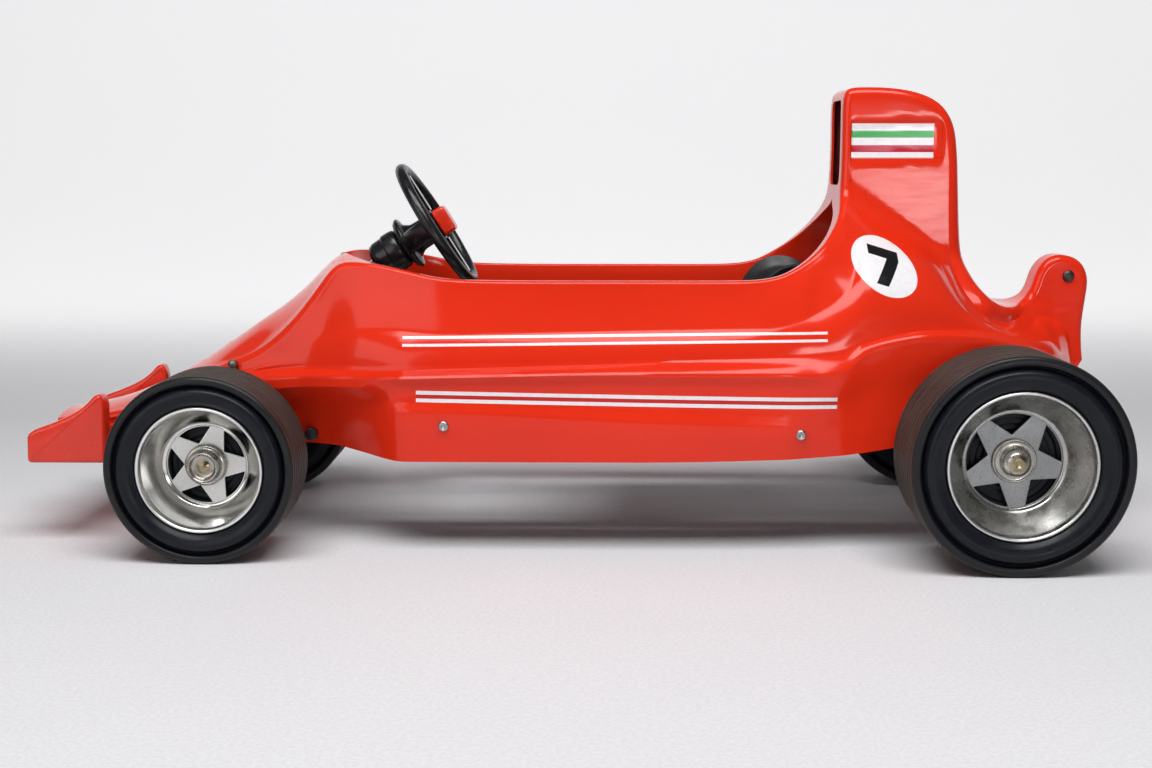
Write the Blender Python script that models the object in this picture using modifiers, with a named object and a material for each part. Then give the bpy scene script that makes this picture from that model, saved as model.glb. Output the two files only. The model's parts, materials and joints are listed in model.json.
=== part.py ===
"""Ride-on pedal racing car: a moulded body on a steel frame, with lever pedals, a cranked rear axle
and kingpin steering.

Axes: +X runs from nose to tail, +Y is the car's right side, +Z is up.  The origin is on the floor,
under the middle of the car.  All lengths are in metres.
"""
import math

import bmesh
import bpy
import numpy as np
from mathutils import Matrix, Vector

# ---------------------------------------------------------------- driving dimensions
FRONT_AXLE_X = -0.4221
REAR_AXLE_X = 0.5050
FRONT_RADIUS = 0.1095          # height of the front axle
REAR_RADIUS = 0.1250           # height of the rear axle
FRONT_FACE_Y = 0.2431          # outer face of the front tyres
REAR_FACE_Y = 0.2900
FRONT_TYRE_WIDTH = 0.097
REAR_TYRE_WIDTH = 0.107
TYRE_STEPS = 28
HUB_TUBE = 0.0130              # radius of the tube behind each star plate
WALL = 0.0032                  # thickness of the moulded body
GAP = 0.0003                   # clearance between pieces that touch
RUNNING = 0.0006               # clearance between pieces that move

KINGPIN_X = FRONT_AXLE_X + 0.0136
KINGPIN_Y = 0.113
KINGPIN_RADIUS = 0.005
KNOB_RADIUS = 0.0068           # the kingpins' heads, sunk in holes in the body
STUB_RADIUS = 0.0055           # the front wheels' axles
BEAM_BOTTOM = 0.140
BEAM_TOP = 0.152
RAIL_Y = 0.085
RAIL_BOTTOM = BEAM_TOP + GAP
RAIL_SIZE = 0.018
RAIL_TOP = RAIL_BOTTOM + RAIL_SIZE
BRACKET_WIDTH = 0.025

AXLE_RADIUS = 0.006
CRANK_THROW = 0.030
CRANK_Y = 0.046
PEDAL_PIVOT_X = -0.3150
PEDAL_PIVOT_Z = 0.1300
PEDAL_ROD_RADIUS = 0.005
LEVER_Y = 0.066
LEVER_PIN = 0.078              # pivot to push rod pin
LEVER_LENGTH = 0.100
CAP_STAND = 0.0040             # the nose flares here, so the pivot caps stand off it

WHEEL_CENTRE = Vector((-0.1690, 0.0, 0.3794))     # centre of the steering wheel's rim
COLUMN_TILT = math.radians(32.2)                  # column above the horizontal
COLUMN_AXIS = Vector((math.cos(COLUMN_TILT), 0.0, math.sin(COLUMN_TILT)))
WHEEL_RING = 0.082             # radius of the steering wheel's ring, and of its tube
WHEEL_TUBE = 0.007
COLUMN_RADIUS = 0.007
COLUMN_LENGTH = 0.225          # rim centre to drop arm
COLUMN_FOOT = 0.252            # rim centre to the column's lower end
DROP_ARM = 0.032
TIE_ROD_Z = 0.140
TIE_ROD_X = KINGPIN_X + 0.055

COLOURS = {
    "red": ((0.72, 0.05, 0.012), 0.25, 0.0),
    "black": ((0.012, 0.012, 0.014), 0.35, 0.0),
    "tyre": ((0.02, 0.02, 0.022), 0.6, 0.0),
    "chrome": ((0.8, 0.8, 0.8), 0.12, 1.0),
    "steel": ((0.55, 0.55, 0.56), 0.35, 1.0),
    "frame": ((0.03, 0.03, 0.035), 0.45, 0.3),
    "grey": ((0.2, 0.2, 0.21), 0.5, 0.0),
    "brass": ((0.7, 0.55, 0.3), 0.3, 1.0),
    "nylon": ((0.6, 0.6, 0.56), 0.5, 0.0),
}

# ---------------------------------------------------------------- scene and helpers
for old in list(bpy.data.objects):
    bpy.data.objects.remove(old, do_unlink=True)

CAR = bpy.data.collections.new("pedal_car")
CUTTERS = bpy.data.collections.new("cutters")
bpy.context.scene.collection.children.link(CAR)
bpy.context.scene.collection.children.link(CUTTERS)


def finish(obj, colour):
    """Give a piece a material of its own and smooth shading with sharp edges."""
    base, roughness, metallic = COLOURS[colour]
    material = bpy.data.materials.new(obj.name)
    material.use_nodes = True
    shader = material.node_tree.nodes["Principled BSDF"]
    shader.inputs["Base Color"].default_value = (*base, 1.0)
    shader.inputs["Roughness"].default_value = roughness
    shader.inputs["Metallic"].default_value = metallic
    obj.data.materials.clear()
    obj.data.materials.append(material)
    if obj.type == "MESH":
        obj.data.shade_smooth()
        obj.data.set_sharp_from_angle(angle=math.radians(35))
    return obj


def add_mesh(name, points, faces, collection=CAR):
    mesh = bpy.data.meshes.new(name)
    mesh.from_pydata([tuple(p) for p in points], [], faces)
    mesh.update()
    obj = bpy.data.objects.new(name, mesh)
    collection.objects.link(obj)
    return obj


def as_cutter(obj):
    obj.hide_render = True
    obj.display_type = "WIRE"
    for collection in list(obj.users_collection):
        collection.objects.unlink(obj)
    CUTTERS.objects.link(obj)
    return obj


def boolean(obj, cutter, operation="DIFFERENCE"):
    modifier = obj.modifiers.new(cutter.name, "BOOLEAN")
    modifier.object = cutter
    modifier.operation = operation
    modifier.solver = "EXACT"


def box(name, low, high, bevel=0.0):
    """A box between two corners, with its edges bevelled if asked."""
    graph = bmesh.new()
    bmesh.ops.create_cube(graph, size=1.0)
    size = [high[i] - low[i] for i in range(3)]
    middle = [(high[i] + low[i]) / 2 for i in range(3)]
    bmesh.ops.scale(graph, vec=size, verts=graph.verts)
    bmesh.ops.translate(graph, vec=middle, verts=graph.verts)
    mesh = bpy.data.meshes.new(name)
    graph.to_mesh(mesh)
    graph.free()
    obj = bpy.data.objects.new(name, mesh)
    CAR.objects.link(obj)
    if bevel:
        modifier = obj.modifiers.new("Bevel", "BEVEL")
        modifier.width = bevel
        modifier.segments = 2
        modifier.limit_method = "ANGLE"
    return obj


def rod(name, start, end, radius, segments=12):
    """A cylinder between two points."""
    start, end = Vector(start), Vector(end)
    graph = bmesh.new()
    turn = (end - start).to_track_quat("Z", "Y").to_matrix().to_4x4()
    bmesh.ops.create_cone(graph, cap_ends=True, segments=segments, radius1=radius, radius2=radius,
                          depth=(end - start).length,
                          matrix=Matrix.Translation((start + end) / 2) @ turn)
    mesh = bpy.data.meshes.new(name)
    graph.to_mesh(mesh)
    graph.free()
    obj = bpy.data.objects.new(name, mesh)
    CAR.objects.link(obj)
    return obj


def turned(name, profile, place, axis, steps=24, closed=False):
    """A turned piece.  The profile lists (radius, height along the axis), top to bottom."""
    count = len(profile)
    mesh = bpy.data.meshes.new(name)
    edges = [(i, i + 1) for i in range(count - 1)] + ([(count - 1, 0)] if closed else [])
    mesh.from_pydata([(r, 0.0, h) for r, h in profile], edges, [])
    obj = bpy.data.objects.new(name, mesh)
    CAR.objects.link(obj)
    screw = obj.modifiers.new("Screw", "SCREW")
    screw.axis = "Z"
    screw.angle = math.tau
    screw.steps = steps
    screw.render_steps = steps
    screw.use_merge_vertices = True
    screw.merge_threshold = 0.00005
    half_step = Matrix.Rotation(math.pi / steps, 4, "Z")
    turn = Vector(axis).to_track_quat("Z", "X").to_matrix().to_4x4()
    obj.matrix_world = Matrix.Translation(Vector(place)) @ turn @ half_step
    return obj


def bent_tube(name, points, radius, resolution=2, cyclic=False):
    """A round tube along a list of points, with filled ends."""
    curve = bpy.data.curves.new(name, "CURVE")
    curve.dimensions = "3D"
    curve.bevel_depth = radius
    curve.bevel_resolution = resolution
    curve.use_fill_caps = True
    spline = curve.splines.new("POLY")
    spline.points.add(len(points) - 1)
    for item, point in zip(spline.points, points):
        item.co = (*point, 1.0)
    spline.use_cyclic_u = cyclic
    obj = bpy.data.objects.new(name, curve)
    CAR.objects.link(obj)
    return obj


def to_mesh(obj):
    """Turn a curve object into a welded mesh object with the same place and name."""
    name = obj.name
    graph = bpy.context.evaluated_depsgraph_get()
    mesh = bpy.data.meshes.new_from_object(obj.evaluated_get(graph), depsgraph=graph)
    welded = bmesh.new()
    welded.from_mesh(mesh)
    bmesh.ops.remove_doubles(welded, verts=welded.verts, dist=0.00005)
    welded.to_mesh(mesh)
    welded.free()
    mesh.materials.clear()
    new = bpy.data.objects.new(name, mesh)
    new.matrix_world = obj.matrix_world.copy()
    CAR.objects.link(new)
    bpy.data.objects.remove(obj, do_unlink=True)
    new.name = name
    return new


def flat_plate(name, outlines, thickness, matrix):
    """A flat plate: closed outlines of (x, y) points, the first one outside, extruded both ways."""
    curve = bpy.data.curves.new(name, "CURVE")
    curve.dimensions = "2D"
    curve.fill_mode = "BOTH"
    curve.extrude = thickness / 2
    for outline in outlines:
        spline = curve.splines.new("POLY")
        spline.points.add(len(outline) - 1)
        for item, (x, y) in zip(spline.points, outline):
            item.co = (x, y, 0.0, 1.0)
        spline.use_cyclic_u = True
    obj = bpy.data.objects.new(name, curve)
    CAR.objects.link(obj)
    obj.matrix_world = matrix
    return to_mesh(obj)


def arc(centre, radius, start, end, count):
    """Points along a circular arc, angles in degrees."""
    angles = np.radians(np.linspace(start, end, count))
    return [(centre[0] + radius * math.cos(a), centre[1] + radius * math.sin(a)) for a in angles]


def smooth_curve(knots, values, where):
    """Monotone cubic interpolation, so that a rail has no overshoot between its knots."""
    knots, values = np.asarray(knots, float), np.asarray(values, float)
    step = np.diff(knots)
    slope = np.diff(values) / step
    tangent = np.zeros_like(values)
    same_sign = slope[:-1] * slope[1:] > 0
    with np.errstate(divide="ignore", invalid="ignore"):
        mean = 2.0 / (1.0 / slope[:-1] + 1.0 / slope[1:])
    tangent[1:-1] = np.where(same_sign, mean, 0.0)
    tangent[0], tangent[-1] = slope[0], slope[-1]
    where = np.clip(where, knots[0], knots[-1])
    i = np.clip(np.searchsorted(knots, where, side="right") - 1, 0, len(step) - 1)
    t = (where - knots[i]) / step[i]
    return ((2 * t**3 - 3 * t**2 + 1) * values[i] + (t**3 - 2 * t**2 + t) * step[i] * tangent[i]
            + (-2 * t**3 + 3 * t**2) * values[i + 1] + (t**3 - t**2) * step[i] * tangent[i + 1])


# ---------------------------------------------------------------- moulded body
# Stations from nose to tail: station number, x of the lower side, then x, z of the upper edge,
# half width and corner radius there, rise of the top's middle over the edge, and the half width
# of the cockpit opening.
STATIONS = [
    # s    low x   edge x  edge z  half w  corner  rise   opening
    (0.0, -0.640, -0.640, 0.1400, 0.064, 0.006, 0.004, 0.0),
    (1.0, -0.570, -0.570, 0.1500, 0.074, 0.007, 0.010, 0.0),
    (2.0, -0.484, -0.484, 0.1780, 0.090, 0.008, 0.022, 0.0),
    (3.0, -0.430, -0.430, 0.2120, 0.104, 0.008, 0.023, 0.0),
    (4.0, -0.380, -0.384, 0.2300, 0.106, 0.014, 0.036, 0.0),
    (5.0, -0.340, -0.338, 0.2680, 0.112, 0.014, 0.032, 0.0),
    (6.0, -0.312, -0.308, 0.3040, 0.114, 0.012, 0.026, 0.0),
    (6.6, -0.295, -0.288, 0.3300, 0.116, 0.010, 0.016, 0.0),
    (6.8, -0.290, -0.283, 0.3360, 0.117, 0.009, 0.011, 0.025),
    (7.0, -0.284, -0.276, 0.3400, 0.118, 0.008, 0.008, 0.048),
    (7.5, -0.262, -0.258, 0.3410, 0.124, 0.006, 0.003, 0.082),
    (8.0, -0.234, -0.234, 0.3390, 0.134, 0.005, 0.0, 0.114),
    (9.0, -0.190, -0.190, 0.3310, 0.145, 0.005, 0.0, 0.133),
    (10.0, -0.140, -0.140, 0.3215, 0.152, 0.005, 0.0, 0.142),
    (11.0, -0.040, -0.040, 0.3200, 0.152, 0.005, 0.0, 0.142),
    (12.0, 0.080, 0.080, 0.3200, 0.152, 0.005, 0.0, 0.142),
    (13.0, 0.190, 0.200, 0.3200, 0.152, 0.005, 0.0, 0.142),
    (14.0, 0.226, 0.243, 0.3240, 0.151, 0.005, 0.0, 0.141),
    (15.0, 0.252, 0.273, 0.3380, 0.146, 0.005, 0.0, 0.134),
    (16.0, 0.272, 0.297, 0.3560, 0.134, 0.006, 0.0, 0.112),
    (17.0, 0.290, 0.3155, 0.3770, 0.114, 0.007, 0.0, 0.080),
    (18.0, 0.306, 0.3265, 0.3960, 0.094, 0.008, 0.0, 0.040),
    (19.0, 0.318, 0.3310, 0.4120, 0.079, 0.008, 0.0, 0.0),
    (20.0, 0.330, 0.3335, 0.4400, 0.064, 0.008, 0.0, 0.0),
    (21.0, 0.341, 0.3340, 0.4800, 0.055, 0.008, 0.0, 0.0),
    (22.0, 0.351, 0.3335, 0.5340, 0.054, 0.008, 0.0, 0.0),
    (22.5, 0.357, 0.3370, 0.5450, 0.054, 0.009, 0.0, 0.0),
    (23.0, 0.364, 0.3460, 0.5490, 0.054, 0.010, 0.0, 0.0),
    (24.0, 0.376, 0.3780, 0.5490, 0.054, 0.010, 0.0, 0.0),
    (25.0, 0.389, 0.4130, 0.5455, 0.053, 0.010, 0.0, 0.0),
    (26.0, 0.402, 0.4450, 0.5350, 0.052, 0.010, 0.0, 0.0),
    (26.6, 0.412, 0.4620, 0.5210, 0.051, 0.011, 0.0, 0.0),
    (27.0, 0.419, 0.4710, 0.5040, 0.051, 0.012, 0.0, 0.0),
    (28.0, 0.432, 0.4760, 0.4700, 0.051, 0.012, 0.0, 0.0),
    (29.0, 0.444, 0.4795, 0.4200, 0.052, 0.014, 0.0, 0.0),
    (30.0, 0.456, 0.4830, 0.3680, 0.056, 0.016, 0.0, 0.0),
    (31.0, 0.468, 0.4880, 0.3340, 0.062, 0.018, 0.0, 0.0),
    (32.0, 0.482, 0.4960, 0.3120, 0.068, 0.020, 0.0, 0.0),
    (33.0, 0.500, 0.5100, 0.2950, 0.072, 0.020, 0.0, 0.0),
    (34.0, 0.524, 0.5320, 0.2840, 0.066, 0.018, 0.0, 0.0),
    (35.0, 0.544, 0.5540, 0.2815, 0.052, 0.014, 0.0, 0.0),
    (36.0, 0.558, 0.5720, 0.2880, 0.034, 0.010, 0.0, 0.0),
    (37.0, 0.570, 0.5820, 0.3020, 0.025, 0.009, 0.0, 0.0),
    (38.0, 0.580, 0.5880, 0.3220, 0.0225, 0.009, 0.0, 0.0),
    (39.0, 0.590, 0.5990, 0.3370, 0.0225, 0.009, 0.0, 0.0),
    (40.0, 0.600, 0.6150, 0.3435, 0.0225, 0.009, 0.0, 0.0),
    (41.0, 0.607, 0.6340, 0.3400, 0.0225, 0.009, 0.0, 0.0),
    (42.0, 0.613, 0.6480, 0.3270, 0.0225, 0.009, 0.0, 0.0),
    (43.0, 0.618, 0.6530, 0.3080, 0.0225, 0.009, 0.0, 0.0),
    (44.0, 0.622, 0.6500, 0.2800, 0.0225, 0.009, 0.0, 0.0),
    (45.0, 0.625, 0.6475, 0.2500, 0.0235, 0.009, 0.0, 0.0),
    (46.0, 0.628, 0.6500, 0.2100, 0.0250, 0.009, 0.0, 0.0),
]
# The lower side by x: z of the hem, the skirt's top, the ledge and the groove over it, and the
# half widths of the hem, the ledge and the groove.  Depth is how far the band is sunk.
LOWER = [
    # x      hem z   skirt z ledge z groove z hem w  ledge w groove w depth
    (-0.640, 0.1060, 0.1120, 0.1240, 0.1300, 0.060, 0.065, 0.064, 0.0),
    (-0.570, 0.1120, 0.1210, 0.1350, 0.1420, 0.070, 0.077, 0.075, 0.0),
    (-0.484, 0.1150, 0.1350, 0.1600, 0.1670, 0.082, 0.100, 0.096, 0.0),
    (-0.430, 0.1165, 0.1480, 0.1880, 0.1980, 0.088, 0.122, 0.112, 0.0),
    (-0.380, 0.1170, 0.1580, 0.1990, 0.2080, 0.092, 0.128, 0.112, 0.0),
    (-0.330, 0.1170, 0.1650, 0.2035, 0.2120, 0.098, 0.136, 0.120, 0.0),
    (-0.290, 0.1165, 0.1690, 0.2070, 0.2140, 0.110, 0.156, 0.138, 0.0),
    (-0.250, 0.1130, 0.1715, 0.2090, 0.2155, 0.138, 0.173, 0.156, 0.0),
    (-0.212, 0.1112, 0.1745, 0.2105, 0.2170, 0.178, 0.191, 0.170, 0.002),
    (-0.196, 0.1109, 0.1755, 0.2110, 0.2180, 0.190, 0.197, 0.176, 0.006),
    (0.084, 0.1109, 0.1645, 0.2170, 0.2280, 0.192, 0.200, 0.180, 0.006),
    (0.248, 0.1138, 0.1585, 0.2165, 0.2325, 0.189, 0.197, 0.179, 0.005),
    (0.290, 0.1155, 0.1575, 0.2150, 0.2335, 0.183, 0.191, 0.177, 0.003),
    (0.318, 0.1168, 0.1585, 0.2190, 0.2370, 0.179, 0.186, 0.175, 0.0),
    (0.348, 0.1195, 0.1630, 0.2426, 0.2500, 0.173, 0.179, 0.170, 0.0),
    (0.385, 0.1245, 0.1680, 0.2525, 0.2595, 0.168, 0.174, 0.164, 0.0),
    (0.420, 0.1280, 0.1700, 0.2570, 0.2640, 0.164, 0.170, 0.158, 0.0),
    (0.478, 0.1340, 0.1700, 0.2543, 0.2620, 0.159, 0.164, 0.148, 0.0),
    (0.540, 0.1345, 0.1700, 0.2390, 0.2480, 0.150, 0.156, 0.138, 0.0),
    (0.580, 0.1335, 0.1660, 0.2190, 0.2300, 0.130, 0.136, 0.118, 0.0),
    (0.605, 0.1325, 0.1620, 0.2010, 0.2130, 0.096, 0.101, 0.086, 0.0),
    (0.628, 0.1320, 0.1580, 0.1860, 0.1980, 0.056, 0.060, 0.048, 0.0),
]


def flare(x, groove_z, groove_w, crease_z):
    """The engine cover's flare at one x: the side leaves the groove and meets the cover's flat side
    on a crease.  Pairs of height and half width."""
    shape = ((0.0, 0.0), (0.25, 0.10), (0.5, 0.30), (0.75, 0.58), (0.92, 0.85), (1.0, 0.965), (1.1, 1.0))
    pairs = tuple((groove_z + (crease_z - groove_z) * up, groove_w - (groove_w - 0.055) * inwards)
                  for up, inwards in shape)
    return x, pairs + ((0.60, 0.053),)


# Half width of the upper side by x: pairs of height and half width, bottom to top.
UPPER = [
    (-0.640, ((0.128, 0.064), (0.135, 0.064), (0.60, 0.06))),
    (-0.484, ((0.164, 0.096), (0.175, 0.090), (0.60, 0.09))),
    (-0.430, ((0.200, 0.112), (0.212, 0.104), (0.60, 0.104))),
    (-0.384, ((0.208, 0.112), (0.230, 0.106), (0.60, 0.106))),
    (-0.308, ((0.212, 0.128), (0.304, 0.114), (0.60, 0.114))),
    (-0.234, ((0.216, 0.166), (0.339, 0.134), (0.60, 0.13))),
    (-0.140, ((0.220, 0.177), (0.3215, 0.152), (0.60, 0.15))),
    (0.200, ((0.231, 0.180), (0.320, 0.152), (0.60, 0.15))),
    (0.243, ((0.232, 0.179), (0.324, 0.151), (0.36, 0.135), (0.60, 0.12))),
    (0.273, ((0.233, 0.178), (0.30, 0.160), (0.338, 0.146), (0.37, 0.120), (0.60, 0.10))),
    (0.297, ((0.234, 0.176), (0.30, 0.156), (0.335, 0.144), (0.356, 0.134), (0.38, 0.110),
             (0.60, 0.054))),
    flare(0.330, 0.2430, 0.1725, 0.4260),
    flare(0.350, 0.2505, 0.1695, 0.4135),
    flare(0.372, 0.2565, 0.1660, 0.3995),
    flare(0.400, 0.2615, 0.1615, 0.3820),
    flare(0.430, 0.2635, 0.1565, 0.3630),
    flare(0.460, 0.2630, 0.1510, 0.3440),
    (0.480, ((0.262, 0.148), (0.272, 0.138), (0.29, 0.112), (0.31, 0.082), (0.331, 0.060),
             (0.36, 0.054), (0.60, 0.051))),
    (0.520, ((0.252, 0.141), (0.262, 0.120), (0.275, 0.084), (0.290, 0.060), (0.32, 0.046),
             (0.60, 0.04))),
    (0.555, ((0.242, 0.130), (0.252, 0.104), (0.264, 0.070), (0.278, 0.042), (0.300, 0.026),
             (0.33, 0.0225), (0.60, 0.0225))),
    (0.585, ((0.228, 0.112), (0.238, 0.088), (0.250, 0.056), (0.266, 0.034), (0.290, 0.0235),
             (0.33, 0.0225), (0.60, 0.0225))),
    (0.610, ((0.210, 0.080), (0.220, 0.056), (0.234, 0.034), (0.255, 0.0245), (0.285, 0.0225),
             (0.60, 0.0225))),
    (0.640, ((0.190, 0.036), (0.202, 0.029), (0.220, 0.0240), (0.250, 0.0225), (0.285, 0.0225),
             (0.60, 0.0225))),
]
LIP_DEPTH = 0.040
SKIRT_PROUD = 0.6              # the skirt stands out over the sunk band by this share of its depth
SCREW_STAND = 0.0014           # the skirt is curved, so a screw's washer stands this far off it
PLUG_X = 0.6260
PLUG_Z = 0.3166
SLOT_LOW, SLOT_HIGH, SLOT_HALF = 0.430, 0.532, 0.030
UPPER_ROWS = 4
CORNER_ROWS = 2
TOP_ROWS = 2
NOSE_CAP = ((0.008, 0.90), (0.008, 0.0))      # how far the end stands out, and its share of the width


def upper_half_width(x, z):
    """Half width of the body's upper side at points (x, z)."""
    xs = [row[0] for row in UPPER]
    columns = np.array([smooth_curve(*zip(*row[1]), z.ravel()) for row in UPPER])
    flat = x.ravel()
    out = np.empty_like(flat)
    for k, value in enumerate(flat):
        out[k] = smooth_curve(xs, columns[:, k], value)
    return out.reshape(x.shape)


def body_grid(stations, upper_rows, corner_rows, top_rows):
    """Rows of (x, half width, z) from the hem to the middle of the top, for each station."""
    table = np.array(STATIONS)
    knots = table[:, 0]
    low_x, edge_x, edge_z, half, corner, rise, opening = (
        smooth_curve(knots, table[:, i], stations) for i in range(1, 8))
    lower = np.array(LOWER)
    hem_z, skirt_z, ledge_z, groove_z, hem_w, ledge_w, groove_w, depth = (
        smooth_curve(lower[:, 0], lower[:, i], low_x) for i in range(1, 9))
    # outward normal of the upper edge, in the side view
    slope_x, slope_z = np.gradient(edge_x), np.gradient(edge_z)
    length = np.hypot(slope_x, slope_z)
    normal_x, normal_z = -slope_z / length, slope_x / length
    inner_x, inner_z = edge_x - corner * normal_x, edge_z - corner * normal_z
    skirt_w = (hem_w + (ledge_w - hem_w) * 0.55 * (skirt_z - hem_z) / (ledge_z - hem_z)
               + SKIRT_PROUD * depth)
    band = ledge_z - skirt_z
    band_w = ledge_w - depth
    rows = [
        (low_x, hem_w, hem_z),
        (low_x, skirt_w, skirt_z - 0.1 * band),
        (low_x, np.minimum(skirt_w, band_w), skirt_z + 0.2 * band),
        (low_x, band_w, ledge_z - 0.3 * band),
        (low_x, ledge_w, ledge_z - 0.06 * band),
        (low_x, groove_w, groove_z),
    ]
    for k in range(1, upper_rows + 1):
        t = k / upper_rows
        x = low_x + (inner_x - low_x) * t
        z = groove_z + (inner_z - groove_z) * t
        width = upper_half_width(x, z)
        width = groove_w + (width - groove_w) * min(1.0, 2.0 * t)
        rows.append((x, width, z))
    edge_w = rows[-1][1]
    for k in range(1, corner_rows + 1):
        angle = math.pi / 2 * k / corner_rows
        rows.append((inner_x + corner * normal_x * math.sin(angle),
                     edge_w - corner * (1 - math.cos(angle)),
                     inner_z + corner * normal_z * math.sin(angle)))
    top_w = edge_w - corner
    opening = np.where(opening > 0.0005, np.minimum(opening, top_w - 0.001), 0.0)
    for k in range(1, top_rows + 1):
        t = k / top_rows
        width = top_w + (opening - top_w) * t
        crown = rise * (1 - (width / top_w) ** 2)
        rows.append((edge_x, width, edge_z + crown))
    crown = rise * (1 - (opening / top_w) ** 2)
    depth = LIP_DEPTH * np.clip((stations - 6.0) / 3.0, 0.25, 1.0)
    lips = [(edge_x - depth * t * normal_x, opening, edge_z + crown - depth * t * normal_z)
            for t in (0.3, 1.0)]
    grid = np.array([[np.asarray(axis, float) for axis in row] for row in rows])
    lip = np.array([[np.asarray(axis, float) for axis in row] for row in lips])
    return grid, lip, opening


def add_body():
    """The moulded body: half of it as a grid from hem to top, mirrored, then given its wall."""
    stations = np.array([0, 0.6, 1.3, 2, 2.6, 3.2, 3.8, 4.5, 5.2, 5.8, 6.2, 6.6, 6.8, 7, 7.4, 8,
                         9, 9.6, 10.2, 11, 12, 13, 14, 15, 16, 17, 18, 19, 20, 21, 22, 22.6, 23.4,
                         25, 26.2, 27, 28, 29.5, 31, 32.4, 34, 35.3, 36.4, 37.6, 38.6, 39.4, 40.2,
                         41, 41.8, 42.6, 44, 46])
    grid, lip, opening = body_grid(stations, UPPER_ROWS, CORNER_ROWS, TOP_ROWS)
    side_rows = grid.shape[0] - CORNER_ROWS - TOP_ROWS
    rows, _, count = grid.shape
    open_from = int(np.argmax(opening > 0))
    open_to = int(len(opening) - np.argmax(opening[::-1] > 0))
    points, faces = [], []

    def put(x, width, z):
        points.append((x, -width, z))
        return len(points) - 1

    numbers = np.array([[put(*grid[j, :, i]) for i in range(count)] for j in range(rows)])
    columns = [numbers[:, i] for i in range(count)]
    nose = [[put(grid[j, 0, 0] - shift, grid[j, 1, 0] * scale, grid[j, 2, 0]) for j in range(rows)]
            for shift, scale in NOSE_CAP]
    # the tail's end wall carries the fin's rear edge down to the hem
    tail = [list(numbers[:side_rows, -1])]
    edge = side_rows - 1
    for k in range(edge + 1, rows):
        shift = grid[k, 0, -1] - grid[edge, 0, -1]
        share = grid[k, 1, -1] / grid[edge, 1, -1]
        column = [put(grid[j, 0, -1] + shift, grid[j, 1, -1] * share, grid[j, 2, -1])
                  for j in range(edge)]
        tail.append(column + [numbers[k, -1]])
    columns = nose[::-1] + columns
    for strip in (columns, tail):
        for left, right in zip(strip[:-1], strip[1:]):
            for j in range(len(left) - 1):
                faces.append((left[j], right[j], right[j + 1], left[j + 1]))
    first, last = open_from - 1, open_to
    lips = [numbers[-1]]
    for k in range(lip.shape[0]):
        lips.append(np.array([put(*lip[k, :, i]) if first <= i <= last else -1
                              for i in range(count)]))
    for lower, upper in zip(lips[:-1], lips[1:]):
        for i in range(first, last):
            faces.append((lower[i], lower[i + 1], upper[i + 1], upper[i]))
    body = add_mesh("body_moulding", points, faces)
    welded = bmesh.new()
    welded.from_mesh(body.data)
    bmesh.ops.remove_doubles(welded, verts=welded.verts, dist=0.0001)
    bmesh.ops.dissolve_degenerate(welded, dist=0.0001, edges=welded.edges)
    welded.to_mesh(body.data)
    welded.free()
    mirror = body.modifiers.new("Mirror", "MIRROR")
    mirror.use_axis = (False, True, False)
    mirror.use_clip = True
    mirror.merge_threshold = 0.0001
    solid = body.modifiers.new("Solidify", "SOLIDIFY")
    solid.thickness = WALL
    solid.offset = -1.0
    for cutter in body_cutters():
        boolean(body, as_cutter(cutter))
    return finish(body, "red")


def body_cutters():
    """Holes in the moulding: the intake, the kingpins, the pedal rod, the screws and the plug."""
    cutters = [box("intake_cut", (0.322, -SLOT_HALF, SLOT_LOW), (0.3402, SLOT_HALF, SLOT_HIGH))]
    cutters.append(rod("pedal_rod_cut", (PEDAL_PIVOT_X, -0.16, PEDAL_PIVOT_Z),
                       (PEDAL_PIVOT_X, 0.16, PEDAL_PIVOT_Z), PEDAL_ROD_RADIUS + RUNNING, 12))
    cutters.append(box("axle_notch", (KINGPIN_X - 0.018, -0.15, 0.100),
                       (TIE_ROD_X + 0.0145, 0.15, 0.1560)))
    cutters.append(rod("plug_cut", (PLUG_X, -0.04, PLUG_Z), (PLUG_X, 0.04, PLUG_Z), 0.0043, 12))
    for side, y in (("left", -KINGPIN_Y), ("right", KINGPIN_Y)):
        cutters.append(rod("kingpin_cut_" + side, (KINGPIN_X, y, 0.15), (KINGPIN_X, y, 0.23),
                           KNOB_RADIUS + RUNNING, 12))
    return cutters


def skirt_half_width(x, z):
    """Half width of the body's skirt at a point of its side view."""
    lower = np.array(LOWER)
    hem_z, skirt_z, ledge_z, _, hem_w, ledge_w, _, depth = (
        float(smooth_curve(lower[:, 0], lower[:, i], x)) for i in range(1, 9))
    skirt_w = (hem_w + (ledge_w - hem_w) * 0.55 * (skirt_z - hem_z) / (ledge_z - hem_z)
               + SKIRT_PROUD * depth)
    share = (z - hem_z) / (skirt_z - 0.1 * (ledge_z - skirt_z) - hem_z)
    return hem_w + (skirt_w - hem_w) * share


# ---------------------------------------------------------------- front wing and small body pieces
WING_HALF = 0.145              # outer face of the end plates
PLATE_THICK = 0.024
PLATE_OUTLINE = [(-0.6540, 0.0990), (-0.5590, 0.0990), (-0.5575, 0.1720)] + arc(
    (-0.5650, 0.1745), 0.0078, 0, 160, 6) + [(-0.5790, 0.1712), (-0.5900, 0.1625),
                                             (-0.6050, 0.1545), (-0.6230, 0.1470),
                                             (-0.6410, 0.1400)] + arc((-0.6445, 0.1300), 0.0085,
                                                                      100, 180, 4)
WING_SECTION = [(-0.6480, 0.1005), (-0.5750, 0.1020), (-0.5740, 0.1046), (-0.6000, 0.1046),
                (-0.6300, 0.1046), (-0.6500, 0.1040)]


def side_view_plate(name, outline, y, thickness):
    """A plate cut to an outline given in the side view (x, z), centred on y."""
    stand = Matrix.Translation((0.0, y, 0.0)) @ Matrix.Rotation(math.pi / 2, 4, "X")
    return flat_plate(name, [outline], thickness, stand)


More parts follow.
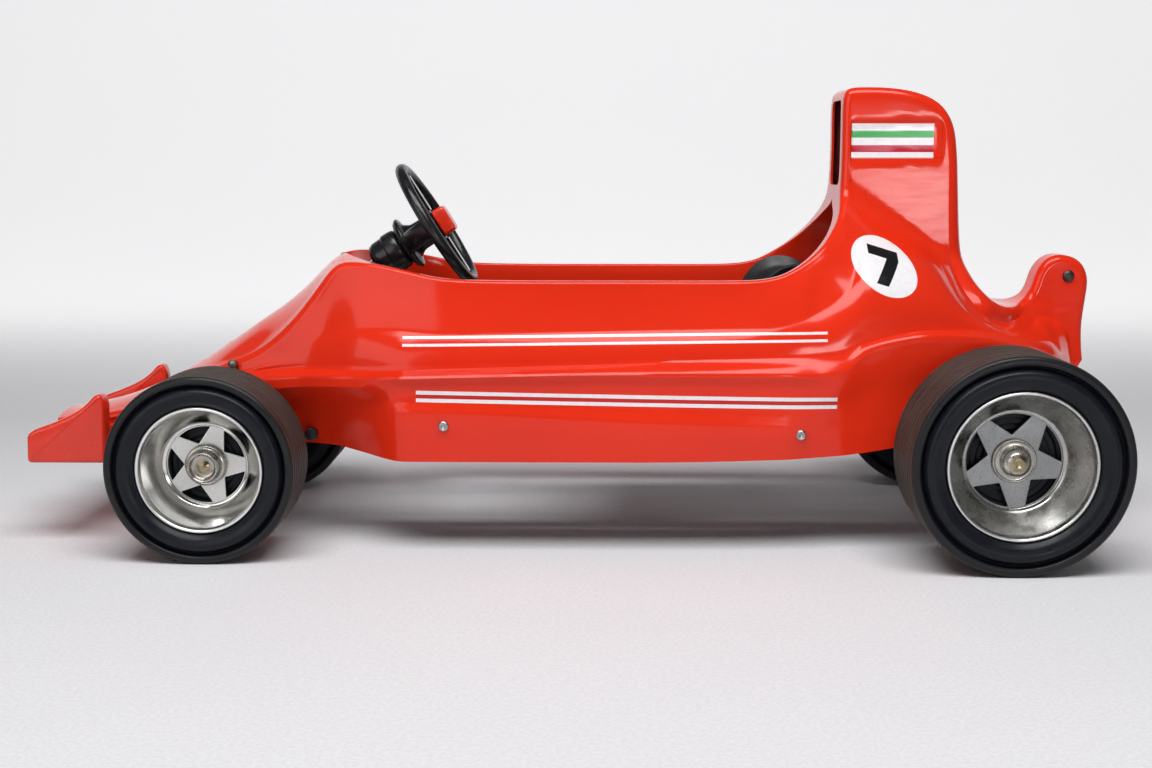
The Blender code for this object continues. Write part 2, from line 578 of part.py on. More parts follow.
def add_front_wing():
    """The front wing: an under-nose plane joined to two thick end plates."""
    wing = side_view_plate("front_wing", WING_SECTION, 0.0, 2 * WING_HALF - PLATE_THICK)
    for side in (-1, 1):
        middle = side * (WING_HALF - PLATE_THICK / 2)
        plate = side_view_plate(f"wing_plate_{side}", PLATE_OUTLINE, middle, PLATE_THICK)
        boolean(wing, as_cutter(plate), "UNION")
    bevel = wing.modifiers.new("Bevel", "BEVEL")
    bevel.width = 0.003
    bevel.segments = 2
    bevel.limit_method = "ANGLE"
    bevel.angle_limit = math.radians(50)
    finish(wing, "red")


def add_small_body_pieces():
    """What is fixed to the body: intake liner, plug, screws with cup washers, kingpin caps."""
    liner = box("intake_liner", (0.3480, -0.036, SLOT_LOW - 0.008), (0.3500, 0.036, SLOT_HIGH + 0.006))
    finish(liner, "grey")
    half = 0.0225 + GAP
    plug = [(0.0, half + 0.0035), (0.0048, half + 0.0030), (0.0072, half + 0.0010), (0.0072, half),
            (0.0038, half), (0.0038, -half), (0.0072, -half), (0.0072, -half - 0.0010),
            (0.0048, -half - 0.0030), (0.0, -half - 0.0035)]
    finish(turned("tail_fin_bolt", plug, (PLUG_X, 0, PLUG_Z), (0, 1, 0), 12), "frame")
    screw = [(0.0, 0.0026), (0.0022, 0.0024), (0.0034, 0.0016), (0.0040, 0.0024), (0.0052, 0.0016),
             (0.0058, 0.0), (0.0, 0.0)]
    for end, x, z in (("front", -0.1450, 0.1546), ("rear", 0.2717, 0.1438)):
        for side, sign in (("left", -1), ("right", 1)):
            y = sign * (skirt_half_width(x, z) + SCREW_STAND)
            piece = turned(f"body_screw_{end}_{side}", screw, (x, y, z), (0, sign, 0), 10)
            finish(piece, "steel")


# ---------------------------------------------------------------- wheels
TYRE_SECTION = [  # share of the way from rim seat to tread, inset from the face
    (0.00, 0.0100), (0.10, 0.0030), (0.33, 0.0), (0.64, 0.0040), (0.80, 0.0002), (1.00, 0.0034)]
STAR_ARMS = 5


def add_wheel(end, side, sign):
    """One wheel at its place, its axle along Y: a tyre moulded in one with the disc behind the
    star plate, a dished rim, the star plate with its hub tube, and a hub cap."""
    front = end == "front"
    axle_z = FRONT_RADIUS if front else REAR_RADIUS
    radius = axle_z / math.cos(math.pi / TYRE_STEPS)
    face = FRONT_FACE_Y if front else REAR_FACE_Y
    width = FRONT_TYRE_WIDTH if front else REAR_TYRE_WIDTH
    lip = 0.0739 if front else 0.0852
    star = 0.0487 if front else 0.0591
    dish = 0.035 if front else 0.038
    bore = AXLE_RADIUS + GAP if not front else STUB_RADIUS + RUNNING
    place = (FRONT_AXLE_X if front else REAR_AXLE_X, sign * face, axle_z)
    axis = (0, sign, 0)
    name = f"{end}_{side}"
    # tyre: heights run from the outer face (0) inwards (negative)
    seat = lip + 0.0006
    outer = [(seat + (radius - seat) * share, -inset) for share, inset in TYRE_SECTION]
    inner = [(r, -width - h) for r, h in reversed(outer)]
    bead = seat - 0.0040
    disc_face = -0.0075 - dish - 0.0120
    web = [(bead, -width + 0.014), (bead, disc_face - 0.0060), (HUB_TUBE + GAP, disc_face - 0.0060),
           (HUB_TUBE + GAP, disc_face), (bead, disc_face), (bead, -0.014)]
    tyre = outer + inner + web
    finish(turned("tyre_" + name, tyre, place, axis, TYRE_STEPS, closed=True), "tyre")
    # rim: rolled lip, a short barrel inside the tyre, and a dished cone
    rim = [(lip - 0.0020, -0.0060), (lip, -0.0075), (bead - GAP, -0.0135), (bead - GAP, disc_face + GAP),
           (bead - 0.0030, disc_face + GAP), (bead - 0.0030, -0.0200),
           (star + 0.0010, -0.0075 - dish + 0.003), (star - 0.0060, -0.0075 - dish + 0.001),
           (star - 0.0060, -0.0075 - dish + 0.0025), (star, -0.0075 - dish + 0.0050),
           (lip - 0.0060, -0.0095)]
    finish(turned("rim_" + name, rim, place, axis, TYRE_STEPS, closed=True), "chrome")
    # star plate behind the dish, with a window between each pair of arms
    plate_height = -0.0075 - dish - 0.0018
    disc = star + 0.0045
    outlines = [arc((0, 0), disc, 0, 360 - 360 / TYRE_STEPS, TYRE_STEPS)]
    for k in range(STAR_ARMS):
        middle = 90 + (k + 0.5) * 360 / STAR_ARMS
        outlines.append(arc((0, 0), 0.57 * star, middle, middle, 1)
                        + arc((0, 0), star - 0.0085, middle - 26, middle + 26, 5))
    outlines.append(arc((0, 0), bore, 0, 330, 12))
    turn = Vector(axis).to_track_quat("Z", "X").to_matrix().to_4x4()
    stand = Matrix.Translation(Vector(place)) @ turn @ Matrix.Translation((0, 0, plate_height))
    disc_plate = flat_plate("star_" + name, outlines, 0.0028, stand)
    tube = [(bore, plate_height), (0.0200, plate_height), (0.0200, plate_height - 0.005),
            (HUB_TUBE, plate_height - 0.007), (HUB_TUBE, -width + 0.004), (bore, -width + 0.004)]
    hub = turned("hub_" + name, tube, place, axis, 12, closed=True)
    boolean(disc_plate, as_cutter(hub), "UNION")
    finish(disc_plate, "steel")
    # hub cap: flange, collar and dome in front of the star
    top = plate_height + 0.0014 + GAP
    flange, collar = (0.0227, 0.0163) if front else (0.0253, 0.0160)
    cap = [(0.0, top + 0.0215), (0.0060, top + 0.0210), (0.0100, top + 0.0190), (0.0105, top + 0.0165),
           (collar - 0.002, top + 0.0165), (collar, top + 0.0145), (collar, top + 0.0030),
           (flange, top + 0.0015), (flange, top), (bore, top), (bore, top + 0.0100), (0.0, top + 0.0100)]
    finish(turned("hub_cap_" + name, cap, place, axis, 14), "chrome")


# ---------------------------------------------------------------- frame and running gear


def bored_block(name, low, high, holes):
    """A block with round holes; each hole is (start, end, radius)."""
    block = box(name, low, high)
    for k, (start, end, radius) in enumerate(holes):
        boolean(block, as_cutter(rod(f"{name}_hole_{k}", start, end, radius, 16)))
    return block


def add_frame():
    """Two rails on the front beam, two body brackets, bearing blocks and the column bracket."""
    for side, sign in (("left", -1), ("right", 1)):
        y = sign * RAIL_Y
        rail = box(f"frame_rail_{side}", (KINGPIN_X - 0.015, y - RAIL_SIZE / 2, RAIL_BOTTOM),
                   (0.5650, y + RAIL_SIZE / 2, RAIL_TOP), 0.0015)
        finish(rail, "frame")
        block = bored_block(
            f"rear_bearing_{side}", (REAR_AXLE_X - 0.016, y - 0.011, 0.106),
            (REAR_AXLE_X + 0.016, y + 0.011, RAIL_BOTTOM - GAP),
            [((REAR_AXLE_X, y - 0.02, REAR_RADIUS), (REAR_AXLE_X, y + 0.02, REAR_RADIUS),
              AXLE_RADIUS + RUNNING)])
        finish(block, "nylon")
    low_beam = (KINGPIN_X - 0.014, -KINGPIN_Y - 0.014, BEAM_BOTTOM)
    high_beam = (KINGPIN_X + 0.014, KINGPIN_Y + 0.014, BEAM_TOP)
    holes = [((KINGPIN_X, s * KINGPIN_Y, 0.13), (KINGPIN_X, s * KINGPIN_Y, 0.16),
              KINGPIN_RADIUS + GAP) for s in (-1, 1)]
    finish(bored_block("front_axle_beam", low_beam, high_beam, holes), "frame")
    strap_z = RAIL_TOP + GAP
    for end, x, z in (("front", -0.1450, 0.1546), ("rear", 0.2717, 0.1438)):
        ends = (x - BRACKET_WIDTH / 2, x + BRACKET_WIDTH / 2)
        reach = min(skirt_half_width(end_x, z) for end_x in ends) - WALL - 0.0035
        inner = RAIL_Y - RAIL_SIZE / 2
        for side, sign in (("left", -1), ("right", 1)):
            outline = [(reach, z - 0.012), (reach, strap_z + 0.003), (inner, strap_z + 0.003),
                       (inner, strap_z), (reach - 0.003, strap_z), (reach - 0.003, z - 0.012)]
            outline = [(sign * across, up) for across, up in outline]
            stand = (Matrix.Translation((x, 0, 0)) @ Matrix.Rotation(math.pi / 2, 4, "Z")
                     @ Matrix.Rotation(math.pi / 2, 4, "X"))
            finish(flat_plate(f"body_bracket_{end}_{side}", [outline], BRACKET_WIDTH, stand), "frame")


def add_front_end():
    """Kingpins, knuckles with stub axles and steering arms, and the tie rod."""
    for side, sign in (("left", -1), ("right", 1)):
        y = sign * KINGPIN_Y
        r = KINGPIN_RADIUS
        pin = [(0.0, 0.2210), (0.0040, 0.2202), (0.0066, 0.2172), (KNOB_RADIUS, 0.2145), (r, 0.2145),
               (r, 0.0760), (0.0085, 0.0760), (0.0085, 0.0700), (0.0, 0.0700)]
        finish(turned(f"kingpin_{side}", pin, (KINGPIN_X, y, 0), (0, 0, 1), 12), "frame")
        barrel = rod(f"knuckle_{side}", (KINGPIN_X, y, 0.0775), (KINGPIN_X, y, BEAM_BOTTOM - GAP), 0.0125)
        arm = box(f"arm_{side}", (KINGPIN_X + 0.004, y - 0.008, 0.1180),
                  (TIE_ROD_X + 0.011, y + 0.008, 0.1250))
        stub_start = (FRONT_AXLE_X, y + sign * 0.004, FRONT_RADIUS)
        stub_end = (FRONT_AXLE_X, sign * (FRONT_FACE_Y - 0.034), FRONT_RADIUS)
        stub = rod(f"stub_{side}", stub_start, stub_end, STUB_RADIUS, 12)
        bridge = box(f"bridge_{side}", (FRONT_AXLE_X - 0.009, y - 0.009, FRONT_RADIUS - 0.009),
                     (KINGPIN_X, y + 0.009 + sign * 0.006, FRONT_RADIUS + 0.009))
        for piece in (arm, bridge, stub):
            boolean(barrel, as_cutter(piece), "UNION")
        bore = rod(f"knuckle_bore_{side}", (KINGPIN_X, y, 0.07), (KINGPIN_X, y, 0.15), r + RUNNING)
        slot = box(f"arm_slot_{side}", (TIE_ROD_X - 0.0062, y - 0.0037, 0.11),
                   (TIE_ROD_X + 0.0062, y + 0.0037, 0.13))
        for piece in (bore, slot):
            boolean(barrel, as_cutter(piece))
        finish(barrel, "frame")
    tie = rod("tie_rod", (TIE_ROD_X, -KINGPIN_Y - 0.006, TIE_ROD_Z),
              (TIE_ROD_X, KINGPIN_Y + 0.006, TIE_ROD_Z), 0.004, 12)
    for side, sign in (("left", -1), ("right", 1)):
        pin = rod(f"tie_pin_{side}", (TIE_ROD_X, sign * KINGPIN_Y, 0.1120),
                  (TIE_ROD_X, sign * KINGPIN_Y, TIE_ROD_Z), 0.0030, 12)
        boolean(tie, as_cutter(pin), "UNION")
    pin_place = drop_arm_pin()
    top, root = pin_place.z + 0.0076, pin_place.z - 0.0090
    slot, edge = 0.0050, 0.0120
    fork_outline = [(-edge, TIE_ROD_Z - 0.002), (edge, TIE_ROD_Z - 0.002), (edge, top), (slot, top),
                    (slot, root), (-slot, root), (-slot, top), (-edge, top)]
    stand = (Matrix.Translation((TIE_ROD_X, 0, 0)) @ Matrix.Rotation(math.pi / 2, 4, "Z")
             @ Matrix.Rotation(math.pi / 2, 4, "X"))
    fork = flat_plate("tie_fork", [fork_outline], 0.004, stand)
    boolean(tie, as_cutter(fork), "UNION")
    finish(tie, "steel")


def drop_arm_pin():
    """Where the steering column's drop arm carries its pin, in the tie rod's plane."""
    foot = WHEEL_CENTRE - COLUMN_AXIS * COLUMN_LENGTH
    down = Vector((math.sin(COLUMN_TILT), 0.0, -math.cos(COLUMN_TILT)))
    return foot + down * DROP_ARM


def add_steering():
    """Column with its drop arm, the wheel, the red hub block and the black boss."""
    foot = WHEEL_CENTRE - COLUMN_AXIS * COLUMN_LENGTH
    pin = drop_arm_pin()
    column = rod("steering_column", WHEEL_CENTRE - COLUMN_AXIS * COLUMN_FOOT,
                 WHEEL_CENTRE - COLUMN_AXIS * 0.052, COLUMN_RADIUS)
    arm = rod("drop_arm", foot, pin - (pin - foot).normalized() * -0.004, 0.0050, 12)
    reach = pin.x - (TIE_ROD_X - 0.006)
    peg = rod("drop_peg", pin, (pin.x - reach, 0, pin.z), 0.0032, 12)
    for piece in (arm, peg):
        boolean(column, as_cutter(piece), "UNION")
    finish(column, "chrome")
    # boss: a sleeve on the column behind the wheel
    bore = COLUMN_RADIUS + GAP
    boss = [(0.0, -0.0500), (0.0215, -0.0500), (0.0240, -0.0560), (0.0240, -0.0860),
            (0.0200, -0.0930), (bore, -0.0930), (bore, -0.0516), (0.0, -0.0516)]
    finish(turned("steering_boss", boss, WHEEL_CENTRE, COLUMN_AXIS, 16), "black")
    # wheel: rim, two flat spokes in its plane, two dished side spokes and the hub
    frame = wheel_frame()
    ring = [frame @ Vector((WHEEL_RING * math.cos(a), WHEEL_RING * math.sin(a), 0.0))
            for a in np.linspace(0, math.tau, 25)[:-1]]
    wheel = to_mesh(bent_tube("steering_wheel", ring, WHEEL_TUBE, 1, cyclic=True))
    hub = rod("wheel_hub", frame @ Vector((0, 0, -0.0497)), frame @ Vector((0, 0, 0.002)), 0.0170, 16)
    spokes = [hub]
    for side in (-1, 1):
        flat = box(f"flat_spoke_{side}", (-0.013, -0.003, -0.003), (0.013, 0.003, 0.003))
        flat.data.transform(Matrix.Diagonal((2.55, 4.0, 1.0, 1.0)))
        flat.matrix_world = frame @ Matrix.Translation((side * 0.0455, 0, -0.001))
        spokes.append(flat)
        path = [(0, side * (WHEEL_RING - 0.001), -0.001), (0, side * 0.072, -0.016),
                (0, side * 0.056, -0.030), (0, side * 0.034, -0.039), (0, side * 0.006, -0.042)]
        curved = bent_tube(f"side_spoke_{side}", [frame @ Vector(p) for p in path], 0.0055, 1)
        spokes.append(to_mesh(curved))
    for piece in spokes:
        boolean(wheel, as_cutter(piece), "UNION")
    finish(wheel, "black")
    block = box("steering_hub_cap", (-0.017, -0.016, 0.0023), (0.017, 0.016, 0.018), 0.004)
    block.matrix_world = frame
    finish(block, "red")
    for name, side in (("upper", -1), ("lower", 1)):
        strip = box(f"spoke_strip_{name}", (-0.0215, -0.0065, 0.0), (0.0215, 0.0065, 0.0014))
        strip.matrix_world = frame @ Matrix.Translation((side * 0.0450, 0, 0.0020 + GAP))
        finish(strip, "steel")
    # post on the front beam whose sleeve carries the column's foot
    low = WHEEL_CENTRE - COLUMN_AXIS * (COLUMN_FOOT + 0.002)
    high = WHEEL_CENTRE - COLUMN_AXIS * (COLUMN_FOOT - 0.018)
    post = rod("column_post", low, high, 0.0125)
    floor = BEAM_TOP + GAP
    leg = rod("post_leg", (KINGPIN_X, 0, floor + 0.004), (low + high) / 2 - Vector((0, 0, 0.006)), 0.0070)
    foot_pad = box("post_foot", (KINGPIN_X - 0.013, -0.018, floor), (KINGPIN_X + 0.013, 0.018, floor + 0.005))
    for piece in (leg, foot_pad):
        boolean(post, as_cutter(piece), "UNION")
    hole = rod("post_bore", low - COLUMN_AXIS * 0.01, high + COLUMN_AXIS * 0.01, COLUMN_RADIUS + RUNNING)
    boolean(post, as_cutter(hole))
    finish(post, "frame")


def wheel_frame():
    """The steering wheel's own frame: Z along the column, X down across the wheel, Y to the right."""
    down = Vector((math.sin(COLUMN_TILT), 0.0, -math.cos(COLUMN_TILT)))
    return Matrix(((down.x, 0, COLUMN_AXIS.x, WHEEL_CENTRE.x), (0, 1, 0, 0),
                   (down.z, 0, COLUMN_AXIS.z, WHEEL_CENTRE.z), (0, 0, 0, 1)))


# ---------------------------------------------------------------- pedals, crank and seat


def add_rear_axle():
    """The rear axle: one rod with a crank throw for each push rod, half a turn apart."""
    end_y = REAR_FACE_Y - 0.0375
    path = [(-end_y, 0.0)]
    for side, sign in ((-1, 1), (1, -1)):
        offsets = [(-0.019, 0.0), (-0.0125, 1.0), (0.0125, 1.0), (0.019, 0.0)]
        path += [(side * CRANK_Y + dy, sign * CRANK_THROW * lift) for dy, lift in offsets]
    path.append((end_y, 0.0))
    points = [(REAR_AXLE_X, y, REAR_RADIUS + z) for y, z in path]
    finish(to_mesh(bent_tube("rear_axle", points, AXLE_RADIUS, 2)), "steel")


def add_pedals():
    """Pivot rod with its end caps, the two levers with their pads, and the push rods."""
    outer = skirt_half_width(PEDAL_PIVOT_X, PEDAL_PIVOT_Z) + CAP_STAND
    pivot = rod("pedal_pivot_rod", (PEDAL_PIVOT_X, -outer - 0.006, PEDAL_PIVOT_Z),
                (PEDAL_PIVOT_X, outer + 0.006, PEDAL_PIVOT_Z), PEDAL_ROD_RADIUS)
    finish(pivot, "steel")
    for side, sign, phase in (("left", -1, 1), ("right", 1, -1)):
        bore = PEDAL_ROD_RADIUS + GAP
        cap = [(0.0, 0.0110), (0.0060, 0.0105), (0.0082, 0.0080), (0.0082, 0.0012), (bore, 0.0012),
               (bore, 0.0064), (0.0, 0.0064)]
        place = (PEDAL_PIVOT_X, sign * outer, PEDAL_PIVOT_Z)
        finish(turned(f"pivot_cap_{side}", cap, place, (0, sign, 0), 12), "black")
        y = sign * LEVER_Y
        top = PEDAL_PIVOT_Z + LEVER_LENGTH
        lever = rod(f"pedal_lever_{side}", (PEDAL_PIVOT_X, y - 0.009, PEDAL_PIVOT_Z),
                    (PEDAL_PIVOT_X, y + 0.009, PEDAL_PIVOT_Z), 0.0100)
        stem = box(f"stem_{side}", (PEDAL_PIVOT_X - 0.006, y - 0.0025, PEDAL_PIVOT_Z + 0.004),
                   (PEDAL_PIVOT_X + 0.006, y + 0.0025, top))
        peg = rod(f"lever_peg_{side}", (PEDAL_PIVOT_X, y - sign * 0.0105, PEDAL_PIVOT_Z + LEVER_PIN),
                  (PEDAL_PIVOT_X, y, PEDAL_PIVOT_Z + LEVER_PIN), 0.0035, 12)
        for piece in (stem, peg):
            boolean(lever, as_cutter(piece), "UNION")
        boolean(lever, as_cutter(rod(f"lever_bore_{side}", (PEDAL_PIVOT_X, y - 0.02, PEDAL_PIVOT_Z),
                                     (PEDAL_PIVOT_X, y + 0.02, PEDAL_PIVOT_Z),
                                     PEDAL_ROD_RADIUS + RUNNING)))
        finish(lever, "frame")
        pad_ends = sorted((y - sign * 0.0085, y + sign * 0.0300))
        pad = box(f"pedal_pad_{side}", (PEDAL_PIVOT_X - 0.010, pad_ends[0], top - 0.008),
                  (PEDAL_PIVOT_X + 0.014, pad_ends[1], top + 0.0150), 0.003)
        cut = box(f"pad_slot_{side}", (PEDAL_PIVOT_X - 0.006 - GAP, y - 0.0025 - GAP, top - 0.02),
                  (PEDAL_PIVOT_X + 0.006 + GAP, y + 0.0025 + GAP, top + GAP))
        boolean(pad, as_cutter(cut))
        finish(pad, "black")
        add_push_rod(side, sign, phase)


def add_push_rod(side, sign, phase):
    """A flat push rod from its crank pin forward to the pedal lever's peg."""
    crank = Vector((REAR_AXLE_X, sign * CRANK_Y, REAR_RADIUS + phase * CRANK_THROW))
    reach = REAR_AXLE_X - PEDAL_PIVOT_X
    rise = PEDAL_PIVOT_Z + LEVER_PIN - crank.z
    path = [(-0.008, 0), (-0.16, 0.008), (-0.40, 0.024), (-0.62, 0.6 * rise), (-reach + 0.05, rise - 0.003),
            (-reach, rise)]
    points = [crank + Vector((x, 0, z)) for x, z in path]
    bar = to_mesh(bent_tube(f"push_rod_{side}", points, 0.0045, 1))
    y = crank.y
    eye = rod(f"eye_{side}", (crank.x, y - 0.0045, crank.z), (crank.x, y + 0.0045, crank.z), 0.0115, 16)
    front = points[-1]
    front_eye = rod(f"front_eye_{side}", (front.x, y - 0.003, front.z), (front.x, y + 0.003, front.z),
                    0.0085, 16)
    for piece in (eye, front_eye):
        boolean(bar, as_cutter(piece), "UNION")
    boolean(bar, as_cutter(rod(f"eye_bore_{side}", (crank.x, y - 0.02, crank.z),
                               (crank.x, y + 0.02, crank.z), AXLE_RADIUS + RUNNING)))
    finish(bar, "steel")


def add_seat():
    """A moulded bucket for the driver: a squab and a back with a rolled top, one open sheet."""
    section = [(-0.030, 0.2120), (-0.020, 0.2200), (0.040, 0.2140), (0.130, 0.2080), (0.185, 0.2120),
               (0.215, 0.2300), (0.236, 0.2620), (0.252, 0.2920), (0.262, 0.3060), (0.276, 0.3110),
               (0.290, 0.3070), (0.297, 0.2970)]
    half = [0.085, 0.100, 0.112, 0.114, 0.112, 0.108, 0.103, 0.098, 0.092, 0.088, 0.084, 0.080]
    across = [(-1.0, 0.024), (-0.93, 0.010), (-0.75, 0.002), (0.0, 0.0)]
    across += [(-share, lift) for share, lift in reversed(across[:-1])]
    slope_x, slope_z = np.gradient([x for x, _ in section]), np.gradient([z for _, z in section])
    points, faces = [], []
    for k, (x, z) in enumerate(section):
        length = math.hypot(slope_x[k], slope_z[k])
        normal = (-slope_z[k] / length, slope_x[k] / length)
        for share, lift in across:
            points.append((x + normal[0] * lift, share * half[k], z + normal[1] * lift))
    wide = len(across)
    for k in range(len(section) - 1):
        for j in range(wide - 1):
            a = k * wide + j
            faces.append((a, a + wide, a + wide + 1, a + 1))
    seat = add_mesh("seat_moulding", points, faces)
    solid = seat.modifiers.new("Solidify", "SOLIDIFY")
    solid.thickness = 0.004
    solid.offset = 0.0
    finish(seat, "black")
    mount = box("seat_crossbar", (0.020, -RAIL_Y - 0.009, RAIL_TOP + GAP), (0.045, RAIL_Y + 0.009, 0.2080))
    hollow = box("crossbar_hollow", (0.0, -RAIL_Y + 0.012, RAIL_TOP - 0.01), (0.06, RAIL_Y - 0.012, 0.2040))
    boolean(mount, as_cutter(hollow))
    finish(mount, "frame")


add_body()
add_front_wing()
add_small_body_pieces()
for wheel_side, wheel_sign in (("left", -1), ("right", 1)):
    for wheel_end in ("front", "rear"):
        add_wheel(wheel_end, wheel_side, wheel_sign)
add_frame()
add_front_end()
add_steering()
add_rear_axle()
add_pedals()
add_seat()
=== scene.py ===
"""Ride-on pedal racing car: the looks of every piece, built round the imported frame.

Axes: +X runs from nose to tail, +Y is the car's right side, +Z is up.  Lengths are in metres.
"""
import json
import math

import bmesh
import bpy
import numpy as np
from bpy.props import FloatProperty, FloatVectorProperty, IntProperty, PointerProperty
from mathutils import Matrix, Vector

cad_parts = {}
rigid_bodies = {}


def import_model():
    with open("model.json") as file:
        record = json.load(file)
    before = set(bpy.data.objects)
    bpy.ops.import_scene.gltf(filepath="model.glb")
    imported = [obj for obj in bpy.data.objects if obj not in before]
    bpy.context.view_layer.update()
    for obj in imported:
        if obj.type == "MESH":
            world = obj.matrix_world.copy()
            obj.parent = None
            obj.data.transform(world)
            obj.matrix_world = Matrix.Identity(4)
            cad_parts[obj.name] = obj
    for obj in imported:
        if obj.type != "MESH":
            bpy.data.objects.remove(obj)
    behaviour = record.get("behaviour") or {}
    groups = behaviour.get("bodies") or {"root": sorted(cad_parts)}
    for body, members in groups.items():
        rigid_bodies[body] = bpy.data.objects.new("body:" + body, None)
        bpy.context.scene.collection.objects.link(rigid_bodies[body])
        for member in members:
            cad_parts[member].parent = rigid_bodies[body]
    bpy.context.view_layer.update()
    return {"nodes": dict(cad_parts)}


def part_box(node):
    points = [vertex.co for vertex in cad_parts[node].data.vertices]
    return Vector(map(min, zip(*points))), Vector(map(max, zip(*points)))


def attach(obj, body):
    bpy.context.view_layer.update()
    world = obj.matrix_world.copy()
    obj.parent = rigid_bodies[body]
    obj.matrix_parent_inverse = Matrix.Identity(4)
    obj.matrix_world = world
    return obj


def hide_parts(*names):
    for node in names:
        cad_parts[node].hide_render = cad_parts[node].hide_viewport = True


bl_info = {
    "name": "Pedal Racing Car",
    "version": (1, 0, 0),
    "blender": (4, 5, 0),
    "location": "3D View > Sidebar > Pedal Car",
    "description": "Builds the visible pieces of a moulded pedal racing car round its packed frame",
    "category": "Object",
}

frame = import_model()
NODES = frame["nodes"]
SIDES = (("left", -1), ("right", 1))
FRONT_AXLE = (-0.4221, 0.1095)           # x and z of each axle; z is also the tyres' radius
REAR_AXLE = (0.5050, 0.1250)
FRONT_FACE, REAR_FACE = 0.2431, 0.2900   # y of the tyres' outer faces
FRONT_WIDTH, REAR_WIDTH = 0.097, 0.107
RIM_INSET = 0.0075                       # the rim's cone starts this far inside a tyre's outer face
TREAD_RIBS = 4                           # ribs on each half of a tyre's tread
TREAD_EDGE = 0.0080                      # from a tyre's face to its first rib
WHEEL_CENTRE = np.array([-0.1690, 0.0, 0.3794])      # middle of the steering wheel's ring
COLUMN_TILT = math.radians(32.2)
FIN_BOLT = (0.6260, 0.0, 0.3166)                     # middle of the bolt through the tail fin
COLUMN = np.array([math.cos(COLUMN_TILT), 0.0, math.sin(COLUMN_TILT)])
ACROSS_DOWN = np.array([math.sin(COLUMN_TILT), 0.0, -math.cos(COLUMN_TILT)])


# ---------------------------------------------------------------- settings
def colour_setting(name, description, default):
    return FloatVectorProperty(name=name, description=description, subtype="COLOR", size=3, min=0, max=1,
                               default=default)


def length_setting(name, description, default, low, high):
    return FloatProperty(name=name, description=description, default=default, min=low, max=high,
                         unit="LENGTH", subtype="DISTANCE")


class PedalCarBodySettings(bpy.types.PropertyGroup):
    """Sizes and colours of the moulded body."""
    colour: colour_setting("Body colour", "Colour of the moulded plastic", (0.80, 0.030, 0.008))
    # painted shade: the inner wall is the same red plastic, given a much darker colour for the shade inside
    # the cockpit
    inner_shade_colour: colour_setting("Inner colour", "Colour of the unpolished inner wall", (0.20, 0.008, 0.006))
    decal_colour: colour_setting("Decal colour", "Colour of the white decals", (0.86, 0.84, 0.86))
    wall: length_setting("Wall", "Thickness of the moulded wall", 0.0030, 0.001, 0.006)
    station_step: FloatProperty(name="Station step", description="Spacing of the cross sections, in stations",
                                default=0.16, min=0.05, max=0.5)


class PedalCarWheelSettings(bpy.types.PropertyGroup):
    """Sizes and colours of the wheels."""
    rubber: colour_setting("Tyre colour", "Colour of the tyre's side", (0.0045, 0.0055, 0.009))
    dust: colour_setting("Tread dust", "Colour of the dust on the tread", (0.088, 0.064, 0.052))
    rib_depth: length_setting("Rib depth", "Depth of the grooves round the tread", 0.0022, 0.0, 0.004)
    steps: IntProperty(name="Steps", description="Points round each wheel", default=144, min=36, max=256)


class PedalCarSteeringSettings(bpy.types.PropertyGroup):
    """Sizes and colour of the steering wheel."""
    ring: length_setting("Ring radius", "Radius of the wheel's ring", 0.082, 0.05, 0.12)
    tube: length_setting("Ring thickness", "Radius of the ring's tube", 0.0074, 0.004, 0.012)
    black: colour_setting("Black", "Colour of the black mouldings", (0.008, 0.008, 0.010))


